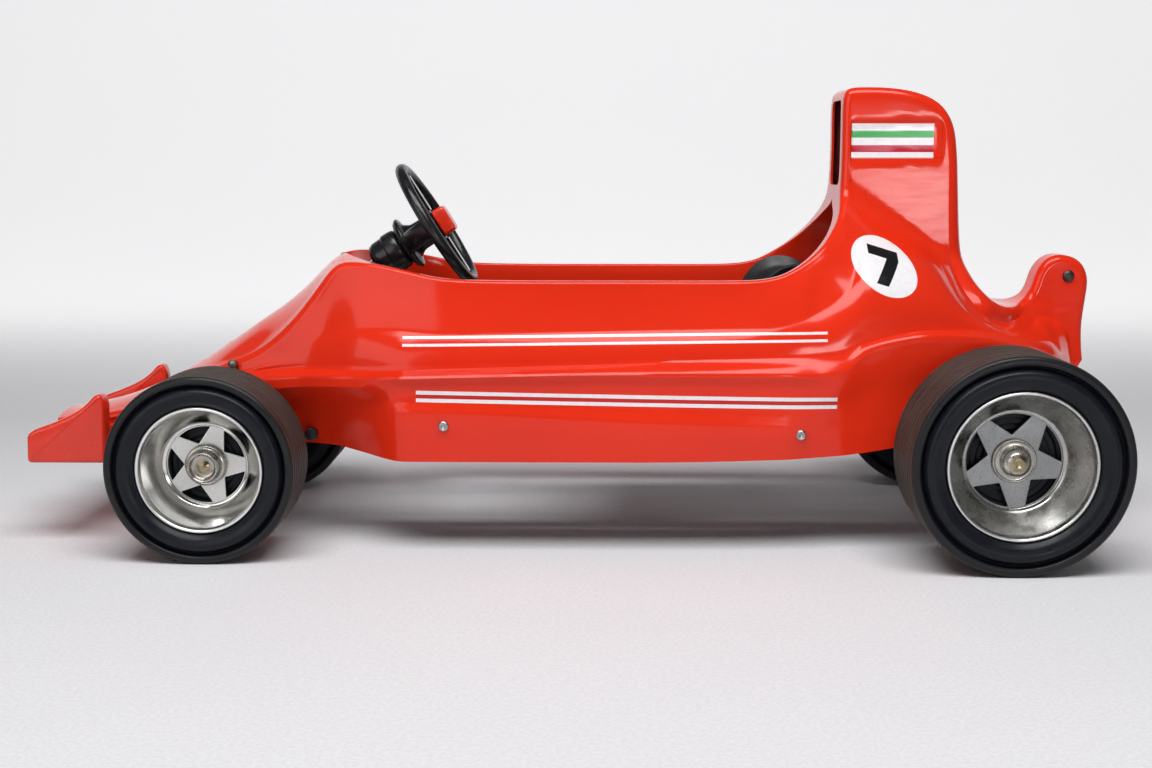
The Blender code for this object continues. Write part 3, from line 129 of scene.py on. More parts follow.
# ---------------------------------------------------------------- node helpers
class Graph:
    """A small writer of node materials: every call adds one node and gives its output."""

    def __init__(self, name, base, roughness, metallic=0.0, **shader_values):
        self.material = bpy.data.materials.new(name)
        self.material.use_nodes = True
        self.tree = self.material.node_tree
        self.shader = self.tree.nodes["Principled BSDF"]
        self.set("Base Color", base)
        self.set("Roughness", roughness)
        self.set("Metallic", metallic)
        for key, value in shader_values.items():
            self.set(key.replace("_", " "), value)
        where = self.tree.nodes.new("ShaderNodeTexCoord")
        self.place = where.outputs["Object"]
        self.x, self.y, self.z = self.split(self.place)

    def put(self, socket, value):
        if isinstance(value, bpy.types.NodeSocket):
            self.tree.links.new(value, socket)
        elif hasattr(value, "__len__") and socket.type == "RGBA":
            socket.default_value = (*tuple(value)[:3], 1.0)
        else:
            socket.default_value = value

    def set(self, key, value):
        self.put(self.shader.inputs[key], value)

    def split(self, vector):
        node = self.tree.nodes.new("ShaderNodeSeparateXYZ")
        self.put(node.inputs[0], vector)
        return node.outputs[0], node.outputs[1], node.outputs[2]

    def math(self, kind, a, b=0.0, clamp=False):
        node = self.tree.nodes.new("ShaderNodeMath")
        node.operation = kind
        node.use_clamp = clamp
        self.put(node.inputs[0], a)
        self.put(node.inputs[1], b)
        return node.outputs[0]

    def between(self, value, low, high):
        above, below = self.math("GREATER_THAN", value, low), self.math("LESS_THAN", value, high)
        return self.math("MULTIPLY", above, below)

    def both(self, *masks):
        result = masks[0]
        for mask in masks[1:]:
            result = self.math("MULTIPLY", result, mask)
        return result

    def either(self, *masks):
        result = masks[0]
        for mask in masks[1:]:
            result = self.math("MAXIMUM", result, mask)
        return result

    def noise(self, scale, detail=3.0, roughness=0.55, vector=None, stretch=None):
        node = self.tree.nodes.new("ShaderNodeTexNoise")
        node.inputs["Scale"].default_value = scale
        node.inputs["Detail"].default_value = detail
        node.inputs["Roughness"].default_value = roughness
        vector = self.place if vector is None else vector
        if stretch:
            mapping = self.tree.nodes.new("ShaderNodeMapping")
            mapping.inputs["Scale"].default_value = stretch
            self.put(mapping.inputs["Vector"], vector)
            vector = mapping.outputs[0]
        self.put(node.inputs["Vector"], vector)
        return node.outputs[0]

    def spread(self, value, low, high, to_low=0.0, to_high=1.0, smooth=False):
        node = self.tree.nodes.new("ShaderNodeMapRange")
        node.interpolation_type = "SMOOTHSTEP" if smooth else "LINEAR"
        for socket, number in zip(list(node.inputs)[:5], (value, low, high, to_low, to_high)):
            self.put(socket, number)
        return node.outputs[0]

    def mix(self, factor, a, b):
        node = self.tree.nodes.new("ShaderNodeMix")
        node.data_type = "RGBA"
        self.put(node.inputs[0], factor)
        self.put(node.inputs[6], a)
        self.put(node.inputs[7], b)
        return node.outputs[2]

    def bump(self, height, strength=0.2, distance=0.001, normal=None):
        node = self.tree.nodes.new("ShaderNodeBump")
        node.inputs["Strength"].default_value = strength
        node.inputs["Distance"].default_value = distance
        self.put(node.inputs["Height"], height)
        if normal is not None:
            self.put(node.inputs["Normal"], normal)
        self.set("Normal", node.outputs[0])
        return node.outputs[0]

    def worn(self, roughness, grain):
        """Roughness from one noise and bump from another; gives the finished material."""
        scale, detail, low, high, bright, dull = roughness
        self.set("Roughness", self.spread(self.noise(scale, detail), low, high, bright, dull))
        scale, detail, strength, distance = grain
        self.bump(self.noise(scale, detail), strength, distance)
        return self.material

    def radius_round(self, axle):
        """Distance from a line along Y, such as a wheel's axle, given by its x and z."""
        dx, dz = self.math("SUBTRACT", self.x, axle[0]), self.math("SUBTRACT", self.z, axle[1])
        square = self.math("ADD", self.math("MULTIPLY", dx, dx), self.math("MULTIPLY", dz, dz))
        return self.math("SQRT", square)


def shade(colour, amount):
    return tuple(min(1.0, channel * amount) for channel in colour)


# ---------------------------------------------------------------- materials
# Decals and marks on the body.  Stripes: x of both ends, rise per metre, and z of the upper and
# lower line at the front end.  Disc: x, z, half width, half height, fall per metre.
UPPER_STRIPES = (-0.195, 0.3025, 0.0140, (0.2530, 0.2561), (0.2444, 0.2475))
LOWER_STRIPES = (-0.177, 0.3140, -0.0173, (0.1912, 0.1956), (0.1822, 0.1866))
SIDE_AWAY, COVER_AWAY = 0.12, 0.07     # the side lies outside the first half width, the cover
                                       # inside the second
DISC = (0.3735, 0.3365, 0.0382, 0.0332, 0.31)
DECAL = (0.3445, 0.4450, 0.4630, 0.5050)        # x low, x high, z low, z high
GREEN_BAND, CRIMSON_BAND = (0.4880, 0.4965), (0.4705, 0.4790)
RING_CENTRE, RING = (0.3795, 0.4198), (0.0158, 0.0172)
PANEL = (0.3436, 0.4551, 0.4631, 0.5080)        # the recess in the engine cover: x low, high, z low, high


def seven(graph, u, v):
    """A bold figure seven in a decal's own square: a top bar and a leg that leans to the right."""
    bar = graph.both(graph.between(u, -0.47, 0.47), graph.between(v, 0.30, 0.62))
    lean = graph.math("SUBTRACT", u, graph.math("MULTIPLY", v, 0.42))
    leg = graph.both(graph.between(lean, -0.03, 0.34), graph.between(v, -0.66, 0.40),
                     graph.math("LESS_THAN", u, 0.47))
    return graph.either(bar, leg)


def pinstripes(g, away, stripes):
    """Masks of a pair of lines along the car's side, and of the gap between the two."""
    low_x, high_x, slope, upper, lower = stripes
    level = g.math("SUBTRACT", g.z, g.math("MULTIPLY", g.math("SUBTRACT", g.x, low_x), slope))
    side = g.both(g.between(g.x, low_x, high_x), g.math("GREATER_THAN", away, SIDE_AWAY))
    lines = g.either(g.between(level, *upper), g.between(level, *lower))
    return g.both(side, lines), g.both(side, g.between(level, lower[1], upper[0]))


def number_disc(g, away):
    """Masks of the sloping white disc on the cover's flare, and of the number on it."""
    x, z, half_wide, half_tall, slope = DISC
    dx = g.math("SUBTRACT", g.x, x)
    u = g.math("DIVIDE", dx, half_wide)
    level = g.math("ADD", g.math("SUBTRACT", g.z, z), g.math("MULTIPLY", dx, slope))
    v = g.math("DIVIDE", level, half_tall)
    reach = g.math("ADD", g.math("MULTIPLY", u, u), g.math("MULTIPLY", v, v))
    disc = g.both(g.math("LESS_THAN", reach, 1.0), g.math("GREATER_THAN", away, 0.05))
    # u is turned round on the car's right side, so that the number reads the same on both
    across = g.math("MULTIPLY", u, g.math("MULTIPLY", g.math("SIGN", g.y), -1.0))
    return disc, g.both(disc, seven(g, across, v))


def recess_shade_line(g, on_cover):
    """Mask of a thin line of painted shade round the engine cover's recess."""
    low_x, high_x, low_z, high_z = PANEL
    out, back = 0.0008, 0.0012
    whole = g.both(g.between(g.x, low_x - out, high_x + out), g.between(g.z, low_z - out, high_z + out))
    middle = g.both(g.between(g.x, low_x + back, high_x - back), g.between(g.z, low_z + back, high_z - back))
    return g.both(whole, g.math("SUBTRACT", 1.0, middle), on_cover)


def body_paint(settings):
    """Glossy moulded plastic, with pinstripes, a striped decal and a number disc on both sides."""
    colour, white = tuple(settings.colour), tuple(settings.decal_colour)
    g = Graph("body_paint", colour, 0.2, Coat_Weight=0.15, Coat_Roughness=0.08, Specular_IOR_Level=0.27)
    base = g.mix(g.spread(g.noise(3.0, 2.0), 0.35, 0.65), shade(colour, 0.90), colour)
    away = g.math("ABSOLUTE", g.y)
    on_cover = g.math("LESS_THAN", away, COVER_AWAY)
    upper, _ = pinstripes(g, away, UPPER_STRIPES)
    lower, gap = pinstripes(g, away, LOWER_STRIPES)
    base = g.mix(g.math("MULTIPLY", gap, 0.55), base, (0.36, 0.010, 0.022))
    low_x, high_x, low_z, high_z = DECAL
    decal = g.both(g.between(g.x, low_x, high_x), g.between(g.z, low_z, high_z), on_cover)
    disc, number = number_disc(g, away)
    paper = g.mix(g.spread(g.noise(160.0, 2.0), 0.4, 0.7), white, shade(white, 0.93))
    base = g.mix(g.either(upper, lower, decal, disc), base, paper)
    base = g.mix(g.both(decal, g.between(g.z, *GREEN_BAND)), base, (0.045, 0.38, 0.085))
    base = g.mix(g.both(decal, g.between(g.z, *CRIMSON_BAND)), base, (0.50, 0.012, 0.040))
    base = g.mix(number, base, (0.008, 0.009, 0.010))
    # a faint moulded ring on the engine cover, under the striped decal, drawn as painted shade: a darker line
    # in place of the ring's own shading
    ring = g.both(g.between(g.radius_round(RING_CENTRE), *RING), on_cover)
    # painted shade: a darker line along the edges of the recess
    base = g.mix(g.math("MULTIPLY", recess_shade_line(g, on_cover), 0.45), base, shade(colour, 0.55))
    base = g.mix(g.math("MULTIPLY", ring, 0.25), base, shade(colour, 0.6))
    grime = g.spread(g.noise(22.0, 6.0, 0.7), 0.62, 0.80)
    g.set("Base Color", g.mix(g.math("MULTIPLY", grime, 0.10), base, (0.25, 0.04, 0.02)))
    scuff = g.noise(30.0, 5.0, 0.7, stretch=(1.0, 1.0, 5.0))
    g.set("Roughness", g.spread(scuff, 0.45, 0.75, 0.13, 0.27))
    waves = g.bump(g.noise(14.0, 1.0), 0.10, 0.0012)
    g.bump(g.noise(900.0, 2.0), 0.03, 0.0002, waves)
    return g.material


def inner_wall(settings):
    # painted shade: the inner wall's dark red stands for the shade inside the cockpit; the noise varies its
    # tone at random
    colour = tuple(settings.inner_shade_colour)
    g = Graph("body_inner_wall", colour, 0.5)
    g.set("Base Color", g.mix(g.spread(g.noise(9.0, 4.0), 0.35, 0.7), colour, shade(colour, 1.35)))
    return g.worn((45.0, 4.0, 0.3, 0.7, 0.38, 0.6), (240.0, 3.0, 0.18, 0.0006))


def plain_red(settings, name, amount=1.0, roughness=0.22):
    colour = shade(tuple(settings.colour), amount)
    g = Graph(name, colour, roughness, Coat_Weight=0.3, Coat_Roughness=0.08)
    g.set("Base Color", g.mix(g.spread(g.noise(16.0, 4.0), 0.3, 0.75), shade(colour, 0.86), colour))
    return g.worn((60.0, 5.0, 0.4, 0.75, roughness - 0.05, roughness + 0.12), (120.0, 3.0, 0.10, 0.0005))


def black_plastic(name, colour, roughness, grain=420.0, strength=0.12):
    g = Graph(name, colour, roughness, Specular_IOR_Level=0.5)
    dust = g.spread(g.noise(26.0, 6.0, 0.65), 0.55, 0.8)
    g.set("Base Color", g.mix(g.math("MULTIPLY", dust, 0.35), colour, (0.055, 0.052, 0.050)))
    return g.worn((70.0, 4.0, 0.35, 0.75, roughness - 0.06, roughness + 0.14), (grain, 3.0, strength, 0.0005))


def tyre_rubber(settings, end, axle, shoulder, face, width):
    """Black tyre: satin side, brown dust on the tread, and painted shade darkening the grooves of the tread.
    """
    rubber, dust = tuple(settings.rubber), tuple(settings.dust)
    g = Graph(f"{end}_tyre_rubber", rubber, 0.4, Specular_IOR_Level=0.24)
    radius = g.radius_round(axle)
    tread = g.spread(radius, shoulder - 0.0035, shoulder + 0.0012, smooth=True)
    band = g.spread(radius, shoulder - 0.0105, shoulder - 0.0095)
    patches = g.spread(g.noise(38.0, 6.0, 0.65), 0.32, 0.66)
    streaks = g.noise(1.0, 3.0, 0.6, stretch=(22.0, 620.0, 22.0))
    dust_and_groove_shade = g.mix(g.spread(streaks, 0.35, 0.65), shade(dust, 0.55), shade(dust, 1.25))
    side = g.mix(g.math("MULTIPLY", patches, 0.5), rubber, (0.012, 0.014, 0.019))
    side = g.mix(g.math("MULTIPLY", band, 0.35), side, (0.026, 0.023, 0.021))
    cover = g.math("MULTIPLY", tread, g.spread(patches, 0.0, 1.0, 0.72, 1.0))
    # painted shade: the grooves of the tread are darkened where shade falls in them
    across = g.math("ABSOLUTE", g.math("SUBTRACT", g.math("ABSOLUTE", g.y), face - width / 2))
    phase = g.math("FRACT", g.math("DIVIDE", across, (width / 2 - TREAD_EDGE) / TREAD_RIBS))
    groove = g.spread(g.math("ABSOLUTE", g.math("SUBTRACT", phase, 0.5)), 0.06, 0.20, 1.0, 0.0, smooth=True)
    dust_and_groove_shade = g.mix(g.math("MULTIPLY", groove, 0.8), dust_and_groove_shade, (0.012, 0.010, 0.009))
    g.set("Base Color", g.mix(cover, side, dust_and_groove_shade))
    rough = g.spread(g.noise(55.0, 5.0), 0.3, 0.75, 0.27, 0.46)
    g.set("Roughness", g.math("MAXIMUM", rough, g.math("MULTIPLY", cover, 0.82)))
    fine = g.bump(g.noise(700.0, 3.0), 0.16, 0.0004)
    g.bump(g.noise(90.0, 4.0), 0.12, 0.0010, fine)
    return g.material


def plating(name, colour, roughness, axle=None, pits=0.0, lip=None):
    """Bright plating: cloudy tarnish, a brushed drift, dark pits where the plating has failed, and a painted
    highlight on the rolled lip.
    """
    g = Graph(name, colour, roughness, 1.0)
    cloud = g.spread(g.noise(17.0, 5.0, 0.6), 0.38, 0.66)
    base = g.mix(cloud, colour, shade(colour, 0.78))
    rough = g.spread(g.noise(48.0, 5.0), 0.3, 0.75, roughness * 0.6, roughness * 1.9)
    if lip:
        # painted highlight: the rolled lip gets a whiter, rougher band that stands for the light it catches
        edge = g.spread(g.radius_round(axle), lip - 0.0052, lip - 0.0038, smooth=True)
        base = g.mix(g.math("MULTIPLY", edge, 0.7), base, (0.93, 0.93, 0.92))
        rough = g.math("MAXIMUM", rough, g.math("MULTIPLY", edge, 0.32))
    if pits:
        backward = g.math("MULTIPLY", g.math("SUBTRACT", g.x, axle[0]), 2.2)
        worn = g.spread(g.math("ADD", g.noise(7.0, 3.0), backward), 0.48, 0.72)
        spots = g.spread(g.noise(420.0, 4.0, 0.75), 0.56, 0.63)
        fleck = g.both(spots, g.spread(g.noise(120.0, 3.0), 0.40, 0.60), g.math("MAXIMUM", worn, 0.15))
        base = g.mix(g.math("MULTIPLY", fleck, pits), base, (0.035, 0.026, 0.020))
        base = g.mix(g.math("MULTIPLY", worn, 0.45 * pits), base, (0.30, 0.28, 0.25))
        rough = g.math("MAXIMUM", rough, g.math("MULTIPLY", fleck, 0.75))
    g.set("Base Color", base)
    g.set("Roughness", rough)
    g.bump(g.noise(260.0, 5.0, 0.7), 0.07, 0.0004)
    return g.material


def satin_metal(name, colour, roughness, speckle=0.3):
    g = Graph(name, colour, roughness, 1.0)
    dots = g.spread(g.noise(520.0, 4.0, 0.7), 0.52, 0.68)
    cloud = g.spread(g.noise(24.0, 5.0), 0.35, 0.7)
    base = g.mix(cloud, colour, shade(colour, 0.80))
    g.set("Base Color", g.mix(g.math("MULTIPLY", dots, speckle), base, shade(colour, 0.35)))
    return g.worn((90.0, 4.0, 0.3, 0.75, roughness - 0.08, roughness + 0.16), (380.0, 4.0, 0.18, 0.0004))


def frame_paint():
    """Black paint on steel, rubbed through to rust in places."""
    colour = (0.018, 0.018, 0.021)
    g = Graph("frame_paint", colour, 0.45, 0.2)
    rust = g.spread(g.noise(48.0, 7.0, 0.7), 0.60, 0.72)
    g.set("Base Color", g.mix(g.math("MULTIPLY", rust, 0.55), colour, (0.11, 0.045, 0.022)))
    return g.worn((80.0, 5.0, 0.3, 0.75, 0.32, 0.70), (300.0, 4.0, 0.22, 0.0005))


def brass_dome(name, axle, radius):
    """A metal cap whose domed middle has gone yellow."""
    g = Graph(name, (0.66, 0.64, 0.58), 0.25, 1.0)
    middle = g.spread(g.radius_round(axle), radius * 0.45, radius * 0.80, 1.0, 0.0, smooth=True)
    metal = g.mix(g.spread(g.noise(60.0, 4.0), 0.3, 0.7), (0.50, 0.49, 0.45), (0.36, 0.34, 0.31))
    yellow = g.mix(g.spread(g.noise(150.0, 4.0), 0.3, 0.7), (0.44, 0.37, 0.24), (0.26, 0.20, 0.13))
    g.set("Base Color", g.mix(middle, metal, yellow))
    return g.worn((110.0, 4.0, 0.3, 0.75, 0.16, 0.42), (420.0, 4.0, 0.12, 0.0004))


# ---------------------------------------------------------------- surfaces
def grid_faces(rows, columns, wrap_rows=False, wrap_columns=False):
    """Quads of a grid of points, numbered row by row."""
    i = np.arange(rows if wrap_rows else rows - 1)[:, None]
    j = np.arange(columns if wrap_columns else columns - 1)[None, :]
    i2, j2 = (i + 1) % rows, (j + 1) % columns
    quads = np.stack(np.broadcast_arrays(i * columns + j, i2 * columns + j, i2 * columns + j2,
                                         i * columns + j2), axis=-1)
    return quads.reshape(-1, 4)


def make_mesh(name, points, faces, weld=0.0, outward=False):
    """A mesh object from whole arrays, with doubled points merged and normals turned outward if asked."""
    mesh = bpy.data.meshes.new(name)
    mesh.from_pydata(np.asarray(points, float).reshape(-1, 3).tolist(), [],
                     faces.tolist() if isinstance(faces, np.ndarray) else faces)
    if weld or outward:
        graph = bmesh.new()
        graph.from_mesh(mesh)
        if weld:
            bmesh.ops.remove_doubles(graph, verts=graph.verts, dist=weld)
            bmesh.ops.dissolve_degenerate(graph, dist=weld, edges=graph.edges)
        if outward:
            bmesh.ops.recalc_face_normals(graph, faces=graph.faces)
        graph.to_mesh(mesh)
        graph.free()
    obj = bpy.data.objects.new(name, mesh)
    bpy.context.scene.collection.objects.link(obj)
    return obj


def settle(obj, body, slot, material, replaced=(), angle=32):
    """Smooth shading, material, and the frame's bookkeeping for one piece."""
    obj.data.shade_smooth()
    obj.data.set_sharp_from_angle(angle=math.radians(angle))
    obj.data.materials.clear()
    for item in material if isinstance(material, (list, tuple)) else [material]:
        obj.data.materials.append(item)
    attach(obj, body)
    if replaced:
        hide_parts(*replaced)
    return obj


def fillet(points, radius, steps=4, closed=False):
    """A polyline whose corners become parabolic arcs that start a radius away from each corner."""
    points = np.asarray(points, float)
    before, after = np.roll(points, 1, 0), np.roll(points, -1, 0)
    back, ahead = before - points, after - points
    long_back = np.linalg.norm(back, axis=1, keepdims=True)
    long_ahead = np.linalg.norm(ahead, axis=1, keepdims=True)
    start = points + back * np.minimum(0.48, radius / np.maximum(long_back, 1e-9))
    end = points + ahead * np.minimum(0.48, radius / np.maximum(long_ahead, 1e-9))
    t = np.linspace(0, 1, steps + 1)[None, :, None]
    arcs = (1 - t) ** 2 * start[:, None] + 2 * t * (1 - t) * points[:, None] + t ** 2 * end[:, None]
    if closed:
        return arcs.reshape(-1, points.shape[1])
    return np.vstack([points[:1], arcs[1:-1].reshape(-1, points.shape[1]), points[-1:]])


def turned_piece(name, profile, place, direction, steps=96, closed=False):
    """A turned surface: a profile of (radius, height) carried round the line through place.

    Point = place + height * axis + radius * (cos a * side + sin a * up), for each angle a."""
    axis = np.asarray(direction, float) / np.linalg.norm(direction)
    side = np.cross(axis, (0.0, 0.0, 1.0) if abs(axis[2]) < 0.9 else (1.0, 0.0, 0.0))
    side /= np.linalg.norm(side)
    up = np.cross(axis, side)
    profile = np.asarray(profile, float)
    angle = np.linspace(0, math.tau, steps, endpoint=False)
    round_it = np.cos(angle)[:, None] * side + np.sin(angle)[:, None] * up
    points = (np.asarray(place, float) + profile[:, 1, None, None] * axis
              + profile[:, 0, None, None] * round_it[None])
    faces = grid_faces(len(profile), steps, closed, True)
    return make_mesh(name, points, faces, weld=0.00002, outward=True)


def swept_tube(name, path, radius, around=20, closed=False, flat=1.0, squash_along=(0.0, 1.0, 0.0)):
    """A tube: at each point of a path, a ring of points at a radius in the plane across the path.

    The ring's direction along squash_along is multiplied by flat, so a flat bar can be made too."""
    path = np.asarray(path, float)
    ahead = (np.roll(path, -1, 0) - np.roll(path, 1, 0)) if closed else np.gradient(path, axis=0)
    ahead /= np.linalg.norm(ahead, axis=1, keepdims=True)
    first = np.broadcast_to(np.asarray(squash_along, float), path.shape)
    first = first - (first * ahead).sum(1, keepdims=True) * ahead
    first = first / np.linalg.norm(first, axis=1, keepdims=True)
    second = np.cross(ahead, first)
    angle = np.linspace(0, math.tau, around, endpoint=False)
    radius = np.broadcast_to(np.asarray(radius, float), (len(path),))
    turn = angle[None, :, None]
    ring = np.cos(turn) * first[:, None] * flat + np.sin(turn) * second[:, None]
    points = path[:, None] + radius[:, None, None] * ring
    if not closed:
        points = np.concatenate([np.broadcast_to(path[0], (1, around, 3)), points,
                                 np.broadcast_to(path[-1], (1, around, 3))])
    faces = grid_faces(len(points), around, closed, True)
    return make_mesh(name, points, faces, weld=0.00002, outward=True)


def smooth_path(points, count):
    """Points of a polyline spread evenly by its length, after its corners are rounded."""
    points = fillet(points, 0.02, 6)
    along = np.concatenate([[0], np.cumsum(np.linalg.norm(np.diff(points, axis=0), axis=1))])
    where = np.linspace(0, along[-1], count)
    return np.stack([np.interp(where, along, points[:, k]) for k in range(3)], axis=1)


def rounded_plate(name, outline, low, high, radius, rows=5):
    """A thick plate in the side view whose edges are rounded.

    Each ring is the outline moved inwards by radius * (1 - sin a), at radius * (1 - cos a) from a
    face, as a goes from nothing to a quarter turn."""
    outline = np.asarray(outline, float)
    ahead = np.roll(outline, -1, 0) - np.roll(outline, 1, 0)
    ahead /= np.linalg.norm(ahead, axis=1, keepdims=True)
    area = np.sum(outline[:, 0] * np.roll(outline[:, 1], -1) - np.roll(outline[:, 0], -1) * outline[:, 1])
    inward = np.stack([-ahead[:, 1], ahead[:, 0]], axis=1) * np.sign(area)
    angle = np.linspace(0, math.pi / 2, rows)
    inset = np.concatenate([radius * (1 - np.sin(angle)), radius * (1 - np.sin(angle[::-1]))])
    height = np.concatenate([low + radius * (1 - np.cos(angle)), high - radius * (1 - np.cos(angle[::-1]))])
    flat = outline[None] + inset[:, None, None] * inward[None]
    points = np.stack([flat[..., 0], np.broadcast_to(height[:, None], flat.shape[:2]), flat[..., 1]], axis=-1)
    count = len(outline)
    faces = grid_faces(len(height), count, False, True).tolist()
    faces += [list(range(count)), list(range((len(height) - 1) * count, len(height) * count))]
    return make_mesh(name, points, faces, outward=True)


def join_pieces(main, others):
    """One mesh object from several: the others' meshes are added to the first one."""
    graph = bmesh.new()
    graph.from_mesh(main.data)
    for other in others:
        graph.from_mesh(other.data)
        bpy.data.objects.remove(other, do_unlink=True)
    graph.to_mesh(main.data)
    graph.free()
    return main


def smooth_curve(knots, values, where):
    """Monotone cubic interpolation.  Values may have one column for each place asked for."""
    knots, values, where = (np.asarray(item, float) for item in (knots, values, where))
    flat = where.ravel()
    if values.ndim == 1:
        values = np.repeat(values[:, None], flat.size, axis=1)
    step = np.diff(knots)[:, None]
    slope = np.diff(values, axis=0) / step
    tangent = np.zeros_like(values)
    with np.errstate(divide="ignore", invalid="ignore"):
        mean = 2.0 / (1.0 / slope[:-1] + 1.0 / slope[1:])
    tangent[1:-1] = np.where(slope[:-1] * slope[1:] > 0, mean, 0.0)
    tangent[0], tangent[-1] = slope[0], slope[-1]
    flat = np.clip(flat, knots[0], knots[-1])
    i = np.clip(np.searchsorted(knots, flat, side="right") - 1, 0, len(step) - 1)
    span = step[i, 0]
    t = (flat - knots[i]) / span
    column = np.arange(flat.size)
    a, b = values[i, column], values[i + 1, column]
    ta, tb = tangent[i, column], tangent[i + 1, column]
    out = ((2 * t**3 - 3 * t**2 + 1) * a + (t**3 - 2 * t**2 + t) * span * ta
           + (-2 * t**3 + 3 * t**2) * b + (t**3 - t**2) * span * tb)
    return out.reshape(where.shape)


# ---------------------------------------------------------------- moulded body
# Cross sections from nose to tail: station number, x of the lower side, then x, z of the upper
# edge, half width and corner radius there, rise of the top's middle over the edge, and the half
# width of the cockpit opening.
STATIONS = np.array([
    (0.0, -0.640, -0.640, 0.1400, 0.064, 0.006, 0.004, 0.0),
    (1.0, -0.570, -0.570, 0.1500, 0.074, 0.007, 0.010, 0.0),
    (2.0, -0.484, -0.484, 0.1780, 0.090, 0.008, 0.022, 0.0),
    (3.0, -0.430, -0.430, 0.2120, 0.104, 0.008, 0.023, 0.0),
    (4.0, -0.380, -0.384, 0.2300, 0.106, 0.014, 0.036, 0.0),
    (5.0, -0.340, -0.338, 0.2680, 0.112, 0.014, 0.032, 0.0),
    (6.0, -0.312, -0.308, 0.3040, 0.114, 0.012, 0.026, 0.0),
    (6.6, -0.295, -0.288, 0.3300, 0.116, 0.010, 0.016, 0.0),
    (6.8, -0.290, -0.283, 0.3360, 0.117, 0.009, 0.011, 0.025),
    (7.0, -0.284, -0.276, 0.3400, 0.118, 0.008, 0.008, 0.048),
    (7.5, -0.262, -0.258, 0.3410, 0.124, 0.006, 0.003, 0.082),
    (8.0, -0.234, -0.234, 0.3390, 0.134, 0.005, 0.0, 0.114),
    (9.0, -0.190, -0.190, 0.3310, 0.145, 0.005, 0.0, 0.133),
    (10.0, -0.140, -0.140, 0.3215, 0.152, 0.005, 0.0, 0.142),
    (11.0, -0.040, -0.040, 0.3200, 0.152, 0.005, 0.0, 0.142),
    (12.0, 0.080, 0.080, 0.3200, 0.152, 0.005, 0.0, 0.142),
    (13.0, 0.190, 0.200, 0.3200, 0.152, 0.005, 0.0, 0.142),
    (14.0, 0.226, 0.243, 0.3240, 0.151, 0.005, 0.0, 0.141),
    (15.0, 0.252, 0.273, 0.3380, 0.146, 0.005, 0.0, 0.134),
    (16.0, 0.272, 0.297, 0.3560, 0.134, 0.006, 0.0, 0.112),
    (17.0, 0.290, 0.3155, 0.3770, 0.114, 0.007, 0.0, 0.080),
    (18.0, 0.306, 0.3265, 0.3960, 0.094, 0.008, 0.0, 0.040),
    (19.0, 0.318, 0.3310, 0.4120, 0.079, 0.008, 0.0, 0.0),
    (20.0, 0.330, 0.3335, 0.4400, 0.064, 0.008, 0.0, 0.0),
    (21.0, 0.341, 0.3340, 0.4800, 0.055, 0.008, 0.0, 0.0),
    (22.0, 0.351, 0.3335, 0.5340, 0.054, 0.008, 0.0, 0.0),
    (22.5, 0.357, 0.3370, 0.5450, 0.054, 0.009, 0.0, 0.0),
    (23.0, 0.364, 0.3460, 0.5490, 0.054, 0.010, 0.0, 0.0),
    (24.0, 0.376, 0.3780, 0.5490, 0.054, 0.010, 0.0, 0.0),
    (25.0, 0.389, 0.4130, 0.5455, 0.053, 0.010, 0.0, 0.0),
    (26.0, 0.402, 0.4450, 0.5350, 0.052, 0.010, 0.0, 0.0),
    (26.6, 0.412, 0.4620, 0.5210, 0.051, 0.011, 0.0, 0.0),
    (27.0, 0.419, 0.4710, 0.5040, 0.051, 0.012, 0.0, 0.0),
    (28.0, 0.432, 0.4760, 0.4700, 0.051, 0.012, 0.0, 0.0),
    (29.0, 0.444, 0.4795, 0.4200, 0.052, 0.014, 0.0, 0.0),
    (30.0, 0.456, 0.4830, 0.3680, 0.056, 0.016, 0.0, 0.0),
    (31.0, 0.468, 0.4880, 0.3340, 0.062, 0.018, 0.0, 0.0),
    (32.0, 0.482, 0.4960, 0.3120, 0.068, 0.020, 0.0, 0.0),
    (33.0, 0.500, 0.5100, 0.2950, 0.072, 0.020, 0.0, 0.0),
    (34.0, 0.524, 0.5320, 0.2840, 0.066, 0.018, 0.0, 0.0),
    (35.0, 0.544, 0.5540, 0.2815, 0.052, 0.014, 0.0, 0.0),
    (36.0, 0.558, 0.5720, 0.2880, 0.034, 0.010, 0.0, 0.0),
    (37.0, 0.570, 0.5820, 0.3020, 0.025, 0.009, 0.0, 0.0),
    (38.0, 0.580, 0.5880, 0.3220, 0.0225, 0.009, 0.0, 0.0),
    (39.0, 0.590, 0.5990, 0.3370, 0.0225, 0.009, 0.0, 0.0),
    (40.0, 0.600, 0.6150, 0.3435, 0.0225, 0.009, 0.0, 0.0),
    (41.0, 0.607, 0.6340, 0.3400, 0.0225, 0.009, 0.0, 0.0),
    (42.0, 0.613, 0.6480, 0.3270, 0.0225, 0.009, 0.0, 0.0),
    (43.0, 0.618, 0.6530, 0.3080, 0.0225, 0.009, 0.0, 0.0),
    (44.0, 0.622, 0.6500, 0.2800, 0.0225, 0.009, 0.0, 0.0),
    (45.0, 0.625, 0.6475, 0.2500, 0.0235, 0.009, 0.0, 0.0),
    (46.0, 0.628, 0.6500, 0.2100, 0.0250, 0.009, 0.0, 0.0),
])
